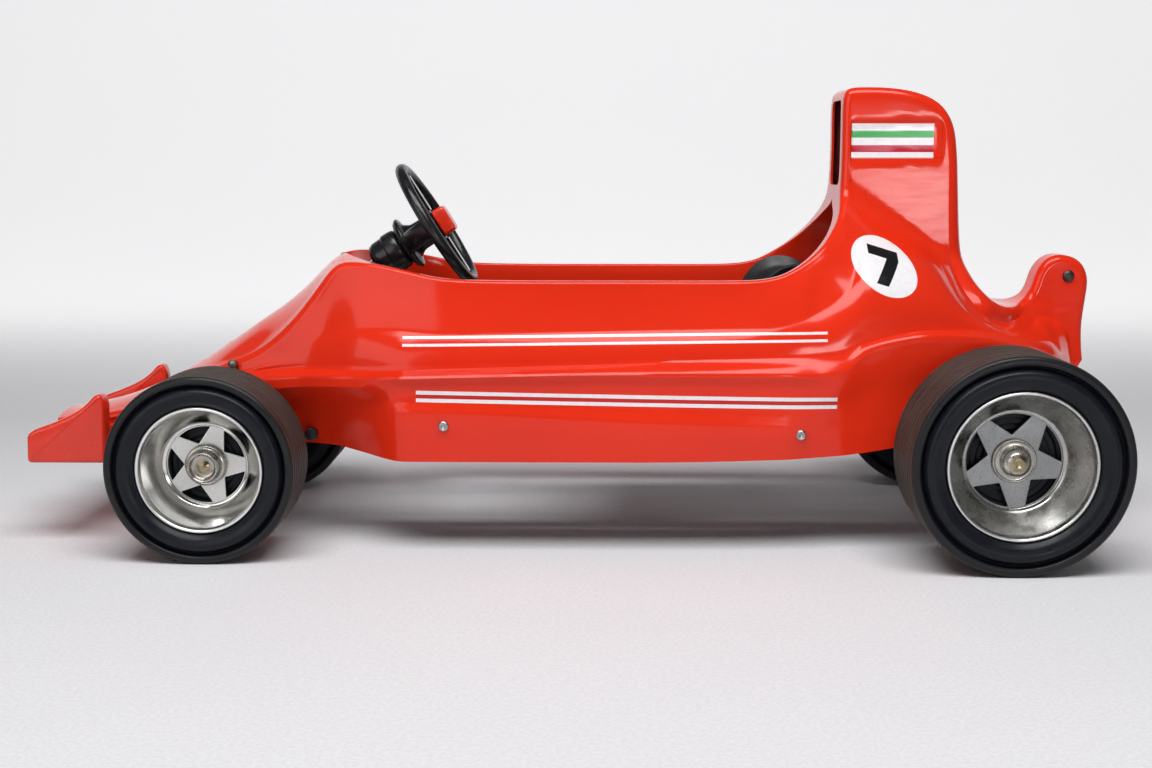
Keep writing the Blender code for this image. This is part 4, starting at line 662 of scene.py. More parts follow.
# The lower side by x: z of the hem, the skirt's top, the ledge and the groove over it, and the
# half widths of the hem, the ledge and the groove.  Depth is how far the band is sunk.
LOWER = np.array([
    (-0.640, 0.1060, 0.1120, 0.1240, 0.1300, 0.060, 0.065, 0.064, 0.0),
    (-0.570, 0.1120, 0.1210, 0.1350, 0.1420, 0.070, 0.077, 0.075, 0.0),
    (-0.484, 0.1150, 0.1350, 0.1600, 0.1670, 0.082, 0.100, 0.096, 0.0),
    (-0.430, 0.1165, 0.1480, 0.1880, 0.1980, 0.088, 0.122, 0.112, 0.0),
    (-0.380, 0.1170, 0.1580, 0.1990, 0.2080, 0.092, 0.128, 0.112, 0.0),
    (-0.330, 0.1170, 0.1650, 0.2035, 0.2120, 0.098, 0.136, 0.120, 0.0),
    (-0.290, 0.1165, 0.1690, 0.2070, 0.2140, 0.110, 0.156, 0.138, 0.0),
    (-0.250, 0.1130, 0.1715, 0.2090, 0.2155, 0.138, 0.173, 0.156, 0.0),
    (-0.212, 0.1112, 0.1745, 0.2105, 0.2170, 0.178, 0.191, 0.170, 0.002),
    (-0.196, 0.1109, 0.1755, 0.2110, 0.2180, 0.190, 0.197, 0.176, 0.006),
    (0.084, 0.1109, 0.1645, 0.2170, 0.2280, 0.192, 0.200, 0.180, 0.006),
    (0.248, 0.1138, 0.1585, 0.2165, 0.2325, 0.189, 0.197, 0.179, 0.005),
    (0.290, 0.1155, 0.1575, 0.2150, 0.2335, 0.183, 0.191, 0.177, 0.003),
    (0.318, 0.1168, 0.1585, 0.2190, 0.2370, 0.179, 0.186, 0.175, 0.0),
    (0.348, 0.1195, 0.1630, 0.2426, 0.2500, 0.173, 0.179, 0.170, 0.0),
    (0.385, 0.1245, 0.1680, 0.2525, 0.2595, 0.168, 0.174, 0.164, 0.0),
    (0.420, 0.1280, 0.1700, 0.2570, 0.2640, 0.164, 0.170, 0.158, 0.0),
    (0.478, 0.1340, 0.1700, 0.2543, 0.2620, 0.159, 0.164, 0.148, 0.0),
    (0.540, 0.1345, 0.1700, 0.2390, 0.2480, 0.150, 0.156, 0.138, 0.0),
    (0.580, 0.1335, 0.1660, 0.2190, 0.2300, 0.130, 0.136, 0.118, 0.0),
    (0.605, 0.1325, 0.1620, 0.2010, 0.2130, 0.096, 0.101, 0.086, 0.0),
    (0.628, 0.1320, 0.1580, 0.1860, 0.1980, 0.056, 0.060, 0.048, 0.0),
])


def flare(x, groove_z, groove_w, crease_z):
    """The engine cover's flare at one x: the side leaves the groove and meets the cover's flat side
    on a crease.  Pairs of height and half width."""
    shape = ((0.0, 0.0), (0.25, 0.10), (0.5, 0.30), (0.75, 0.58), (0.92, 0.85), (1.0, 0.965), (1.1, 1.0))
    pairs = tuple((groove_z + (crease_z - groove_z) * up, groove_w - (groove_w - 0.055) * inwards)
                  for up, inwards in shape)
    return x, pairs + ((0.60, 0.053),)


# Half width of the upper side by x: pairs of height and half width, bottom to top.
UPPER = [
    (-0.640, ((0.128, 0.064), (0.135, 0.064), (0.60, 0.06))),
    (-0.484, ((0.164, 0.096), (0.175, 0.090), (0.60, 0.09))),
    (-0.430, ((0.200, 0.112), (0.212, 0.104), (0.60, 0.104))),
    (-0.384, ((0.208, 0.112), (0.230, 0.106), (0.60, 0.106))),
    (-0.308, ((0.212, 0.128), (0.304, 0.114), (0.60, 0.114))),
    (-0.234, ((0.216, 0.166), (0.339, 0.134), (0.60, 0.13))),
    (-0.140, ((0.220, 0.177), (0.3215, 0.152), (0.60, 0.15))),
    (0.200, ((0.231, 0.180), (0.320, 0.152), (0.60, 0.15))),
    (0.243, ((0.232, 0.179), (0.324, 0.151), (0.36, 0.135), (0.60, 0.12))),
    (0.273, ((0.233, 0.178), (0.30, 0.160), (0.338, 0.146), (0.37, 0.120), (0.60, 0.10))),
    (0.297, ((0.234, 0.176), (0.30, 0.156), (0.335, 0.144), (0.356, 0.134), (0.38, 0.110),
             (0.60, 0.054))),
]
# The flare and the tail: eight pairs in each row, so that each pair can be followed along x.
TAIL = [
    flare(0.330, 0.2430, 0.1725, 0.4260),
    flare(0.350, 0.2505, 0.1695, 0.4135),
    flare(0.372, 0.2565, 0.1660, 0.3995),
    flare(0.400, 0.2615, 0.1615, 0.3820),
    flare(0.430, 0.2635, 0.1565, 0.3630),
    flare(0.460, 0.2630, 0.1510, 0.3440),
    (0.480, ((0.262, 0.148), (0.277, 0.136), (0.293, 0.113), (0.309, 0.086), (0.322, 0.066), (0.331, 0.058),
             (0.345, 0.055), (0.60, 0.051))),
    (0.520, ((0.252, 0.141), (0.257, 0.131), (0.262, 0.120), (0.275, 0.086), (0.290, 0.060), (0.305, 0.052),
             (0.320, 0.046), (0.60, 0.040))),
    (0.555, ((0.242, 0.130), (0.247, 0.118), (0.252, 0.104), (0.264, 0.070), (0.278, 0.042), (0.290, 0.032),
             (0.300, 0.026), (0.60, 0.0225))),
    (0.585, ((0.228, 0.112), (0.233, 0.100), (0.238, 0.088), (0.250, 0.056), (0.266, 0.034), (0.278, 0.028),
             (0.290, 0.0235), (0.60, 0.0225))),
    (0.610, ((0.210, 0.080), (0.215, 0.067), (0.220, 0.056), (0.234, 0.034), (0.255, 0.0245), (0.270, 0.0232),
             (0.285, 0.0225), (0.60, 0.0225))),
    (0.640, ((0.190, 0.036), (0.196, 0.0322), (0.202, 0.029), (0.220, 0.0240), (0.250, 0.0225),
             (0.270, 0.0225), (0.285, 0.0225), (0.60, 0.0225))),
]
TAIL_ROWS = 52
LIP_DEPTH = 0.042
SKIRT_PROUD = 0.6              # the skirt stands out over the sunk band by this share of its depth
LIP_ROLL = 0.0022              # radius of the roll where the top turns down into the cockpit
UPPER_ROWS, CORNER_ROWS, TOP_ROWS = 38, 5, 8
PANEL_DEPTH = 0.0022                           # how far the recess in the engine cover is sunk
SLOT = (0.430, 0.534, 0.034)                   # air slot: z low, z high, half width


def filled_rows(rows, count):
    """More rows between the given ones: each pair of height and half width is followed along x."""
    places = np.array([place for place, _ in rows])
    pairs = np.array([pair for _, pair in rows])
    where = np.linspace(places[0], places[-1], count)
    tracks = [[smooth_curve(places, pairs[:, k, c], where) for c in (0, 1)] for k in range(pairs.shape[1])]
    return [(x, tuple((up[i], across[i]) for up, across in tracks)) for i, x in enumerate(where)]


def upper_half_width(x, z):
    """Half width of the upper side: monotone curves in z at set places, blended along x."""
    rows = UPPER + filled_rows(TAIL, TAIL_ROWS)
    columns = np.array([smooth_curve(*zip(*pairs), z.ravel()) for _, pairs in rows])
    return smooth_curve([place for place, _ in rows], columns, x.ravel()).reshape(x.shape)


def soften(values, width):
    """Gaussian average along the stations, so that no cross section shows as a ridge."""
    reach = int(4 * width)
    kernel = np.exp(-0.5 * (np.arange(-reach, reach + 1) / width) ** 2)
    kernel /= kernel.sum()
    ramp = np.arange(1, reach + 1)[:, None]
    head = values[:1] - ramp[::-1] * (values[1:2] - values[:1])
    tail = values[-1:] + ramp * (values[-1:] - values[-2:-1])
    padded = np.concatenate([head, values, tail])
    window = np.lib.stride_tricks.sliding_window_view(padded, 2 * reach + 1, axis=0)
    return np.einsum("ijk,k->ij", window, kernel)


def panel_recess(x, z):
    """Depth of the engine cover's recess: a smooth step over a rounded rectangle's distance."""
    middle_x, middle_z = (PANEL[0] + PANEL[1]) / 2, (PANEL[2] + PANEL[3]) / 2
    corner = 0.006
    dx = np.abs(x - middle_x) - (PANEL[1] - PANEL[0]) / 2 + corner
    dz = np.abs(z - middle_z) - (PANEL[3] - PANEL[2]) / 2 + corner
    distance = np.hypot(np.maximum(dx, 0), np.maximum(dz, 0)) + np.minimum(np.maximum(dx, dz), 0) - corner
    t = np.clip(0.5 - distance / 0.003, 0, 1)
    return PANEL_DEPTH * t * t * (3 - 2 * t)


def body_grid(step):
    """Half of the body as (stations, rows, 3): rows run from the hem up the side and over the top.

    The lower side follows LOWER, the upper side blends from the groove to the upper edge with
    its half width from UPPER, the corner is a quarter circle and the top a shallow arch."""
    stations = np.arange(0, 46 + step / 2, step)
    low_x, edge_x, edge_z, half, corner, rise, opening = (
        smooth_curve(STATIONS[:, 0], STATIONS[:, i], stations) for i in range(1, 8))
    rail = np.stack([low_x, edge_x, edge_z, corner, rise], axis=1)
    low_x, edge_x, edge_z, corner, rise = soften(rail, 0.22 / step).T
    hem_z, skirt_z, ledge_z, groove_z, hem_w, ledge_w, groove_w, depth = (
        smooth_curve(LOWER[:, 0], LOWER[:, i], low_x) for i in range(1, 9))
    slope_x, slope_z = np.gradient(edge_x), np.gradient(edge_z)
    length = np.hypot(slope_x, slope_z)
    normal_x, normal_z = -slope_z / length, slope_x / length
    inner_x, inner_z = edge_x - corner * normal_x, edge_z - corner * normal_z
    band = ledge_z - skirt_z
    skirt_w = (hem_w + (ledge_w - hem_w) * 0.55 * (skirt_z - hem_z) / (ledge_z - hem_z)
               + SKIRT_PROUD * depth)
    band_w = ledge_w - depth
    sunk = np.minimum(skirt_w, band_w)
    lower = [(hem_w, hem_z), ((hem_w + skirt_w) / 2 + 0.0006, (hem_z + skirt_z) / 2),
             (skirt_w, skirt_z - 0.14 * band), (skirt_w - 0.0006, skirt_z - 0.04 * band),
             (sunk + 0.0006, skirt_z + 0.10 * band), (sunk, skirt_z + 0.20 * band),
             ((sunk + band_w) / 2, skirt_z + 0.45 * band), (band_w, ledge_z - 0.32 * band),
             (band_w + 0.15 * depth, ledge_z - 0.20 * band), (ledge_w - 0.15 * depth, ledge_z - 0.10 * band),
             (ledge_w, ledge_z - 0.03 * band), (ledge_w - 0.0016, ledge_z + 0.0016),
             ((ledge_w + groove_w) / 2, (ledge_z + groove_z) / 2 + 0.0006),
             (groove_w + 0.0012, groove_z - 0.0008)]
    rows = [np.stack([low_x, width, z], axis=1) for width, z in lower]
    for k in range(1, UPPER_ROWS + 1):
        t = k / UPPER_ROWS
        x = low_x + (inner_x - low_x) * t
        z = groove_z + (inner_z - groove_z) * t
        width = groove_w + (upper_half_width(x, z) - groove_w) * min(1.0, 2.5 * t)
        rows.append(np.stack([x, width, z], axis=1))
    # the engine cover's recess, pushed in where the side is nearly upright
    for row in rows[-UPPER_ROWS:]:
        row[:, 1] -= panel_recess(row[:, 0], row[:, 2]) * (row[:, 1] < 0.07)
    edge_w = rows[-1][:, 1]
    for k in range(1, CORNER_ROWS + 1):
        angle = math.pi / 2 * k / CORNER_ROWS
        rows.append(np.stack([inner_x + corner * normal_x * math.sin(angle),
                              edge_w - corner * (1 - math.cos(angle)),
                              inner_z + corner * normal_z * math.sin(angle)], axis=1))
    top_w = edge_w - corner
    opening = np.where(opening > 0.0005, np.minimum(opening, top_w - 0.0015), 0.0)
    for k in range(1, TOP_ROWS + 1):
        width = top_w + (opening - top_w) * k / TOP_ROWS
        crown = rise * (1 - (width / top_w) ** 2)
        rows.append(np.stack([edge_x, width, edge_z + crown], axis=1))
    crown = rise * (1 - (opening / top_w) ** 2)
    drop = LIP_DEPTH * np.clip((stations - 6.0) / 3.0, 0.25, 1.0)
    downs = [np.full_like(drop, down) for down in (0.0003, 0.0012, 0.0030)] + [0.4 * drop, drop]
    lips = [np.stack([edge_x - down * normal_x, np.maximum(opening - LIP_ROLL * back, 0),
                      edge_z + crown - down * normal_z], axis=1)
            for back, down in zip((0.3, 0.75, 1.0, 1.0, 1.0), downs)]
    grid = np.stack([soften(row, 0.16 / step) for row in rows], axis=1)
    lip = np.stack([soften(row, 0.16 / step) for row in lips], axis=1)
    return grid, lip, opening > 0


def build_body(settings):
    """The moulded shell: half grid, nose cap, tail wall and cockpit lips, then the other half."""
    grid, lip, is_open = body_grid(settings.station_step)
    count, rows = grid.shape[:2]
    closed_top = ~is_open
    grid[closed_top, -1, 1] = 0.0
    # nose: the first section shrinks to the middle line over a rounded front
    turn = np.linspace(0, math.pi / 2, 6)[1:][::-1]
    cap = np.repeat(grid[:1], len(turn), axis=0)
    cap[:, :, 0] -= 0.010 * np.sin(turn)[:, None]
    cap[:, :, 1] *= np.where(np.sin(turn) > 0.999, 0.0, np.cos(turn) ** 0.45)[:, None]
    side = np.concatenate([cap, grid])
    faces = [grid_faces(*side.shape[:2])]
    points = [side.reshape(-1, 3)]
    # tail: the last section's side is carried across with its corner and top rows
    edge = rows - CORNER_ROWS - TOP_ROWS - 1
    last = grid[-1]
    shift = last[edge:, 0] - last[edge, 0]
    share = last[edge:, 1] / last[edge, 1]
    wall = np.repeat(last[None, :edge + 1], len(shift), axis=0)
    wall[:, :, 0] += shift[:, None]
    wall[:, :, 1] *= share[:, None]
    wall[:, -1] = last[edge:]
    faces.append(grid_faces(*wall.shape[:2]) + len(points[0]))
    points.append(wall.reshape(-1, 3))
    # lips round the cockpit
    first, after = int(np.argmax(is_open)) - 1, count - int(np.argmax(is_open[::-1])) + 1
    strip = np.concatenate([grid[first:after, -1:], lip[first:after]], axis=1)
    faces.append(grid_faces(*strip.shape[:2]) + sum(map(len, points)))
    points.append(strip.reshape(-1, 3))
    points = np.concatenate(points)
    points[:, 1] *= -1
    faces = np.concatenate(faces)
    mirrored = points * (1, -1, 1)
    points = np.concatenate([points, mirrored])
    faces = np.concatenate([faces, faces[:, ::-1] + len(mirrored)])
    return make_mesh("body_moulding_surface", points, faces, weld=0.00025)


def apply_modifiers(obj):
    """Replace an object's mesh by what its modifiers make of it."""
    bpy.context.view_layer.update()
    graph = bpy.context.evaluated_depsgraph_get()
    mesh = bpy.data.meshes.new_from_object(obj.evaluated_get(graph), depsgraph=graph)
    obj.modifiers.clear()
    obj.data = mesh
    return obj


def cut(obj, cutter):
    modifier = obj.modifiers.new("Cut", "BOOLEAN")
    modifier.object = cutter
    modifier.operation = "DIFFERENCE"
    modifier.solver = "EXACT"
    return cutter


def slot_cutter(name, width, low, high, front, back, corner):
    """A bar along X whose section is a rectangle with rounded corners."""
    outline = fillet([(-width, low), (width, low), (width, high), (-width, high)], corner, 6, closed=True)
    points = np.stack([np.stack([np.full(len(outline), x), outline[:, 0], outline[:, 1]], axis=1)
                       for x in (front, back)])
    count = len(outline)
    faces = grid_faces(2, count, False, True).tolist() + [list(range(count)), list(range(count, 2 * count))]
    return make_mesh(name, points, faces, outward=True)


# ---------------------------------------------------------------- operators
def settings_of(context):
    return context.scene.pedal_car_body, context.scene.pedal_car_wheels, context.scene.pedal_car_steering


class PieceOperator:
    """What every operator here shares: it builds its pieces, and an error stops the script."""
    bl_options = {"REGISTER", "UNDO"}

    def execute(self, context):
        self.build(*settings_of(context))
        return {"FINISHED"}


class PEDALCAR_OT_body(PieceOperator, bpy.types.Operator):
    """Build the moulded body with its cockpit, air slot, recess and decals"""
    bl_idname = "pedal_car.body"
    bl_label = "Body Moulding"

    def build(self, body, wheels, steering):
        shell = build_body(body)
        wall = shell.modifiers.new("Wall", "SOLIDIFY")
        wall.thickness = body.wall
        wall.offset = -1.0
        wall.material_offset = 1
        shell.data.materials.append(body_paint(body))
        shell.data.materials.append(inner_wall(body))
        cutters = [cut(shell, slot_cutter("slot_cut", SLOT[2], SLOT[0], SLOT[1], 0.320, 0.3415, 0.012))]
        for name, place, axis, radius, reach in (
                ("plug_cut", FIN_BOLT, (0, 1, 0), 0.0043, 0.04),
                ("left_pin_cut", (-0.4085, -0.113, 0.20), (0, 0, 1), 0.0072, 0.05),
                ("right_pin_cut", (-0.4085, 0.113, 0.20), (0, 0, 1), 0.0072, 0.05)):
            rod = [(0, -reach), (radius, -reach), (radius, reach), (0, reach)]
            cutters.append(cut(shell, turned_piece(name, rod, place, axis, 24)))
        apply_modifiers(shell)
        for cutter in cutters:
            bpy.data.objects.remove(cutter, do_unlink=True)
        kept = list(shell.data.materials)[:2]
        indices = np.zeros(len(shell.data.polygons), np.int32)
        shell.data.polygons.foreach_get("material_index", indices)
        settle(shell, "chassis", "body_plastic", kept, ("body_moulding",), angle=40)
        shell.data.polygons.foreach_set("material_index", np.clip(indices, 0, 1))


class PEDALCAR_OT_wing(PieceOperator, bpy.types.Operator):
    """Build the front wing: a thin plane under the nose between two thick end plates"""
    bl_idname = "pedal_car.wing"
    bl_label = "Front Wing"

    def build(self, body, wheels, steering):
        outline = fillet([(-0.6540, 0.0990), (-0.5592, 0.0990), (-0.5570, 0.1700), (-0.5610, 0.1822),
                          (-0.5690, 0.1822), (-0.5790, 0.1712), (-0.5900, 0.1625), (-0.6050, 0.1545),
                          (-0.6230, 0.1470), (-0.6450, 0.1392), (-0.6530, 0.1330)], 0.0060, 5, closed=True)
        wing = rounded_plate("front_wing_surface", outline, -0.145, -0.121, 0.0045)
        right = rounded_plate("right_end_plate", outline, 0.121, 0.145, 0.0045)
        section = fillet([(-0.6480, 0.1003), (-0.5750, 0.1010), (-0.5740, 0.1050), (-0.6480, 0.1060)],
                         0.002, 4, closed=True)
        plane = rounded_plate("wing_plane", section, -0.1225, 0.1225, 0.0005, 2)
        settle(join_pieces(wing, [right, plane]), "chassis", "body_plastic",
               plain_red(body, "wing_paint", 1.0), ("front_wing",), angle=45)


class PEDALCAR_OT_wheels(PieceOperator, bpy.types.Operator):
    """Build the tyres, rims, star plates and hub caps of all four wheels"""
    bl_idname = "pedal_car.wheels"
    bl_label = "Wheels"

    def build(self, body, wheels, steering):
        for end, axle, face, width in (
                ("front", FRONT_AXLE, FRONT_FACE, FRONT_WIDTH), ("rear", REAR_AXLE, REAR_FACE, REAR_WIDTH)):
            front = end == "front"
            lip, star, dish = (0.0739, 0.0515, 0.035) if front else (0.0852, 0.0600, 0.038)
            rubber = tyre_rubber(wheels, end, axle, axle[1], face, width)
            if front:
                rim_metal = plating("front_rim_chrome", (0.84, 0.84, 0.82), 0.12, axle, 0.0, lip)
                star_metal = satin_metal("front_star_metal", (0.80, 0.80, 0.77), 0.34, 0.25)
                hub_metal = brass_dome("front_hub_metal", axle, 0.0140)
            else:
                rim_metal = plating("rear_rim_chrome", (0.56, 0.56, 0.54), 0.21, axle, 0.95, lip)
                star_metal = satin_metal("rear_star_metal", (0.34, 0.345, 0.345), 0.36, 0.6)
                hub_metal = brass_dome("rear_hub_metal", axle, 0.0160)
            for side, sign in SIDES:
                name = f"{end}_{side}"
                group = "rear_wheels" if not front else f"{side}_front_wheel"
                place, axis = (axle[0], sign * face, axle[1]), (0, sign, 0)
                self.tyre(name, group, place, axis, axle[1], width, lip, dish, wheels, rubber)
                self.rim(name, group, place, axis, lip, star, dish, wheels, rim_metal)
                self.star(name, group, place, axis, width, star, dish, front, star_metal)
                self.hub(name, group, place, axis, dish, front, hub_metal)

    def tyre(self, name, group, place, axis, radius, width, lip, dish, wheels, material):
        """Side: bulge, groove and square shoulder; tread: flat with round-bottomed grooves."""
        seat = lip + 0.0004
        k = (radius - seat) / 0.0352
        side = fillet([(seat - 0.003, -0.0130), (seat + 0.0010, -0.0060), (seat + 0.0060 * k, -0.0012),
                       (seat + 0.0130 * k, 0.0016), (seat + 0.0185 * k, 0.0002), (seat + 0.0222 * k, -0.0058),
                       (seat + 0.0232 * k, -0.0098), (seat + 0.0246 * k, -0.0098),
                       (seat + 0.0256 * k, -0.0016), (seat + 0.0280 * k, -0.0002), (radius - 0.0032, -0.0010),
                       (radius - 0.0006, -0.0036), (radius, -0.0070)], 0.0022, 4)
        across = np.linspace(-TREAD_EDGE, -width / 2, 61)[1:]
        phase = (across + TREAD_EDGE) / (-width / 2 + TREAD_EDGE) * TREAD_RIBS
        groove = np.exp(-(((phase % 1.0) - 0.5) / 0.13) ** 2)
        crown = 0.0006 * ((across + width / 2) / (width / 2)) ** 2
        tread = np.stack([radius - wheels.rib_depth * groove - crown, across], axis=1)
        outer = np.concatenate([side, tread])
        inner = outer[::-1][1:] * (1, -1) + (0, -width)
        web = -RIM_INSET - dish - 0.0120
        rings = np.linspace(0.0560, 0.0210, 29)
        relief = web - 0.0010 * (0.5 - 0.5 * np.cos((0.0560 - rings) / 0.0350 * math.tau * 5))
        rim_seat = lip - 0.0034
        disc = np.concatenate([[(rim_seat, -width + 0.0140), (rim_seat, web - 0.0060), (0.0135, web - 0.0060),
                                (0.0135, web)], np.stack([rings, relief], axis=1)[::-1],
                               [(rim_seat, web), (rim_seat, -0.0200)]])
        piece = turned_piece("tyre_" + name + "_surface", np.concatenate([outer, inner, disc]), place, axis,
                             wheels.steps, closed=True)
        settle(piece, group, f"{name.split('_')[0]}_tyre_rubber", material, ("tyre_" + name,), angle=50)

    def rim(self, name, group, place, axis, lip, star, dish, wheels, material):
        """A rolled lip, a dished cone down to the star plate, and a short barrel behind it."""
        deep = -RIM_INSET - dish
        section = fillet([(lip - 0.0044, -0.0128), (lip - 0.0046, -0.0062), (lip - 0.0026, -0.0042),
                          (lip - 0.0006, -0.0050), (lip, -0.0080), (lip - 0.0038, -0.0142),
                          (lip - 0.0038, deep - 0.0110), (lip - 0.0066, deep - 0.0110),
                          (lip - 0.0070, -0.0220), (star + 0.0016, deep + 0.0022),
                          (star - 0.0050, deep - 0.0002), (star - 0.0050, deep + 0.0016),
                          (star - 0.0016, deep + 0.0028),
                          (star + 0.0006, deep + 0.0052), (lip - 0.0058, -0.0150)],
                         0.0014, 4, closed=True)
        piece = turned_piece("rim_" + name + "_surface", section, place, axis, wheels.steps, closed=True)
        settle(piece, group, f"{name.split('_')[0]}_rim_chrome", material, ("rim_" + name,), angle=45)

    def star(self, name, group, place, axis, width, star, dish, front, material):
        """A disc with five windows: at each angle the inner part ends where the window's edge lies.

        Each window is a wedge whose point lies between two arms and whose outer side is an arc."""
        sign, height = axis[1], -RIM_INSET - dish - 0.0006
        inner, point, outer, disc = 0.0080, 0.50 * star, star - 0.0062, star + 0.0040
        first = math.radians(72 if front else 60)
        half, reach = math.radians(36), math.radians(25.5)
        corner = np.array([outer * math.cos(reach), outer * math.sin(reach)])
        turn = np.concatenate([np.linspace(-half, -reach, 4)[:-1], np.linspace(-reach, reach, 33),
                               np.linspace(reach, half, 4)[1:]])[:-1]
        slope = corner[1] / (corner[0] - point)
        inside = np.clip(np.abs(turn), 0, reach)
        edge = slope * point / (slope * np.cos(inside) - np.sin(inside))
        edge = np.where(np.abs(turn) >= reach - 1e-9, outer, np.minimum(edge, outer))
        angle = (first + half + np.arange(5)[:, None] * math.tau / 5 + turn[None]).ravel()
        edge = np.tile(edge, 5)
        t = np.linspace(0, 1, 8)[:, None]
        inner_part = inner + (edge[None] - inner) * t
        outer_part = outer + (disc - outer) * np.linspace(0, 1, 3)[:, None] * np.ones_like(edge)[None]
        points, faces, start = [], [], 0
        for radius in (inner_part, outer_part):
            x = place[0] + radius * np.cos(angle) * (-sign)
            z = place[2] + radius * np.sin(angle)
            y = np.full_like(x, place[1] + sign * height)
            points.append(np.stack([x, y, z], axis=-1).reshape(-1, 3))
            faces.append(grid_faces(radius.shape[0], radius.shape[1], False, True) + start)
            start += radius.size
        faces = np.concatenate(faces)
        plate = make_mesh("star_" + name + "_surface", np.concatenate(points), faces, weld=0.00004)
        graph = bmesh.new()
        graph.from_mesh(plate.data)
        wrong = [face for face in graph.faces if face.normal.y * sign < 0]
        bmesh.ops.reverse_faces(graph, faces=wrong)
        graph.to_mesh(plate.data)
        graph.free()
        thick = plate.modifiers.new("Thickness", "SOLIDIFY")
        thick.thickness = 0.0026
        thick.offset = -1.0
        soft = plate.modifiers.new("Edge", "BEVEL")
        soft.width = 0.0004
        soft.segments = 2
        soft.limit_method = "ANGLE"
        apply_modifiers(plate)
        tube = fillet([(0.0062, height - 0.0005), (0.0195, height - 0.0005), (0.0200, height - 0.0070),
                       (0.0130, height - 0.0090), (0.0130, -width + 0.0040), (0.0062, -width + 0.0040)],
                      0.0008, 3, closed=True)
        hub = turned_piece("hub_tube", tube, place, axis, 48, closed=True)
        settle(join_pieces(plate, [hub]), group, f"{name.split('_')[0]}_star_metal", material,
               ("star_" + name,), angle=35)

    def hub(self, name, group, place, axis, dish, front, material):
        """A stepped cap: flange, collar with a bright rim, and a dome sunk in it or standing proud."""
        base = -RIM_INSET - dish - 0.0004
        if front:
            section = [(0.0, base), (0.0246, base), (0.0246, base + 0.0040), (0.0230, base + 0.0066),
                       (0.0196, base + 0.0078), (0.0182, base + 0.0110), (0.0178, base + 0.0200),
                       (0.0166, base + 0.0216), (0.0150, base + 0.0206), (0.0136, base + 0.0160),
                       (0.0086, base + 0.0150), (0.0036, base + 0.0172), (0.0, base + 0.0178)]
        else:
            section = [(0.0, base), (0.0253, base), (0.0256, base + 0.0024), (0.0240, base + 0.0042),
                       (0.0218, base + 0.0030), (0.0172, base + 0.0034), (0.0164, base + 0.0060),
                       (0.0162, base + 0.0140), (0.0148, base + 0.0162), (0.0120, base + 0.0196),
                       (0.0060, base + 0.0224), (0.0026, base + 0.0218), (0.0, base + 0.0216)]
        piece = turned_piece("hub_cap_" + name + "_surface", fillet(section, 0.0016, 4), place, axis, 64)
        settle(piece, group, f"{name.split('_')[0]}_hub_metal", material, ("hub_cap_" + name,), angle=50)


def on_wheel(down, right, height):
    """A point given in the steering wheel's own frame, height along the column towards the driver."""
    down, right, height = np.broadcast_arrays(*(np.asarray(v, float) for v in (down, right, height)))
    return (WHEEL_CENTRE + down[..., None] * ACROSS_DOWN + right[..., None] * np.array([0.0, 1.0, 0.0])
            + height[..., None] * COLUMN)


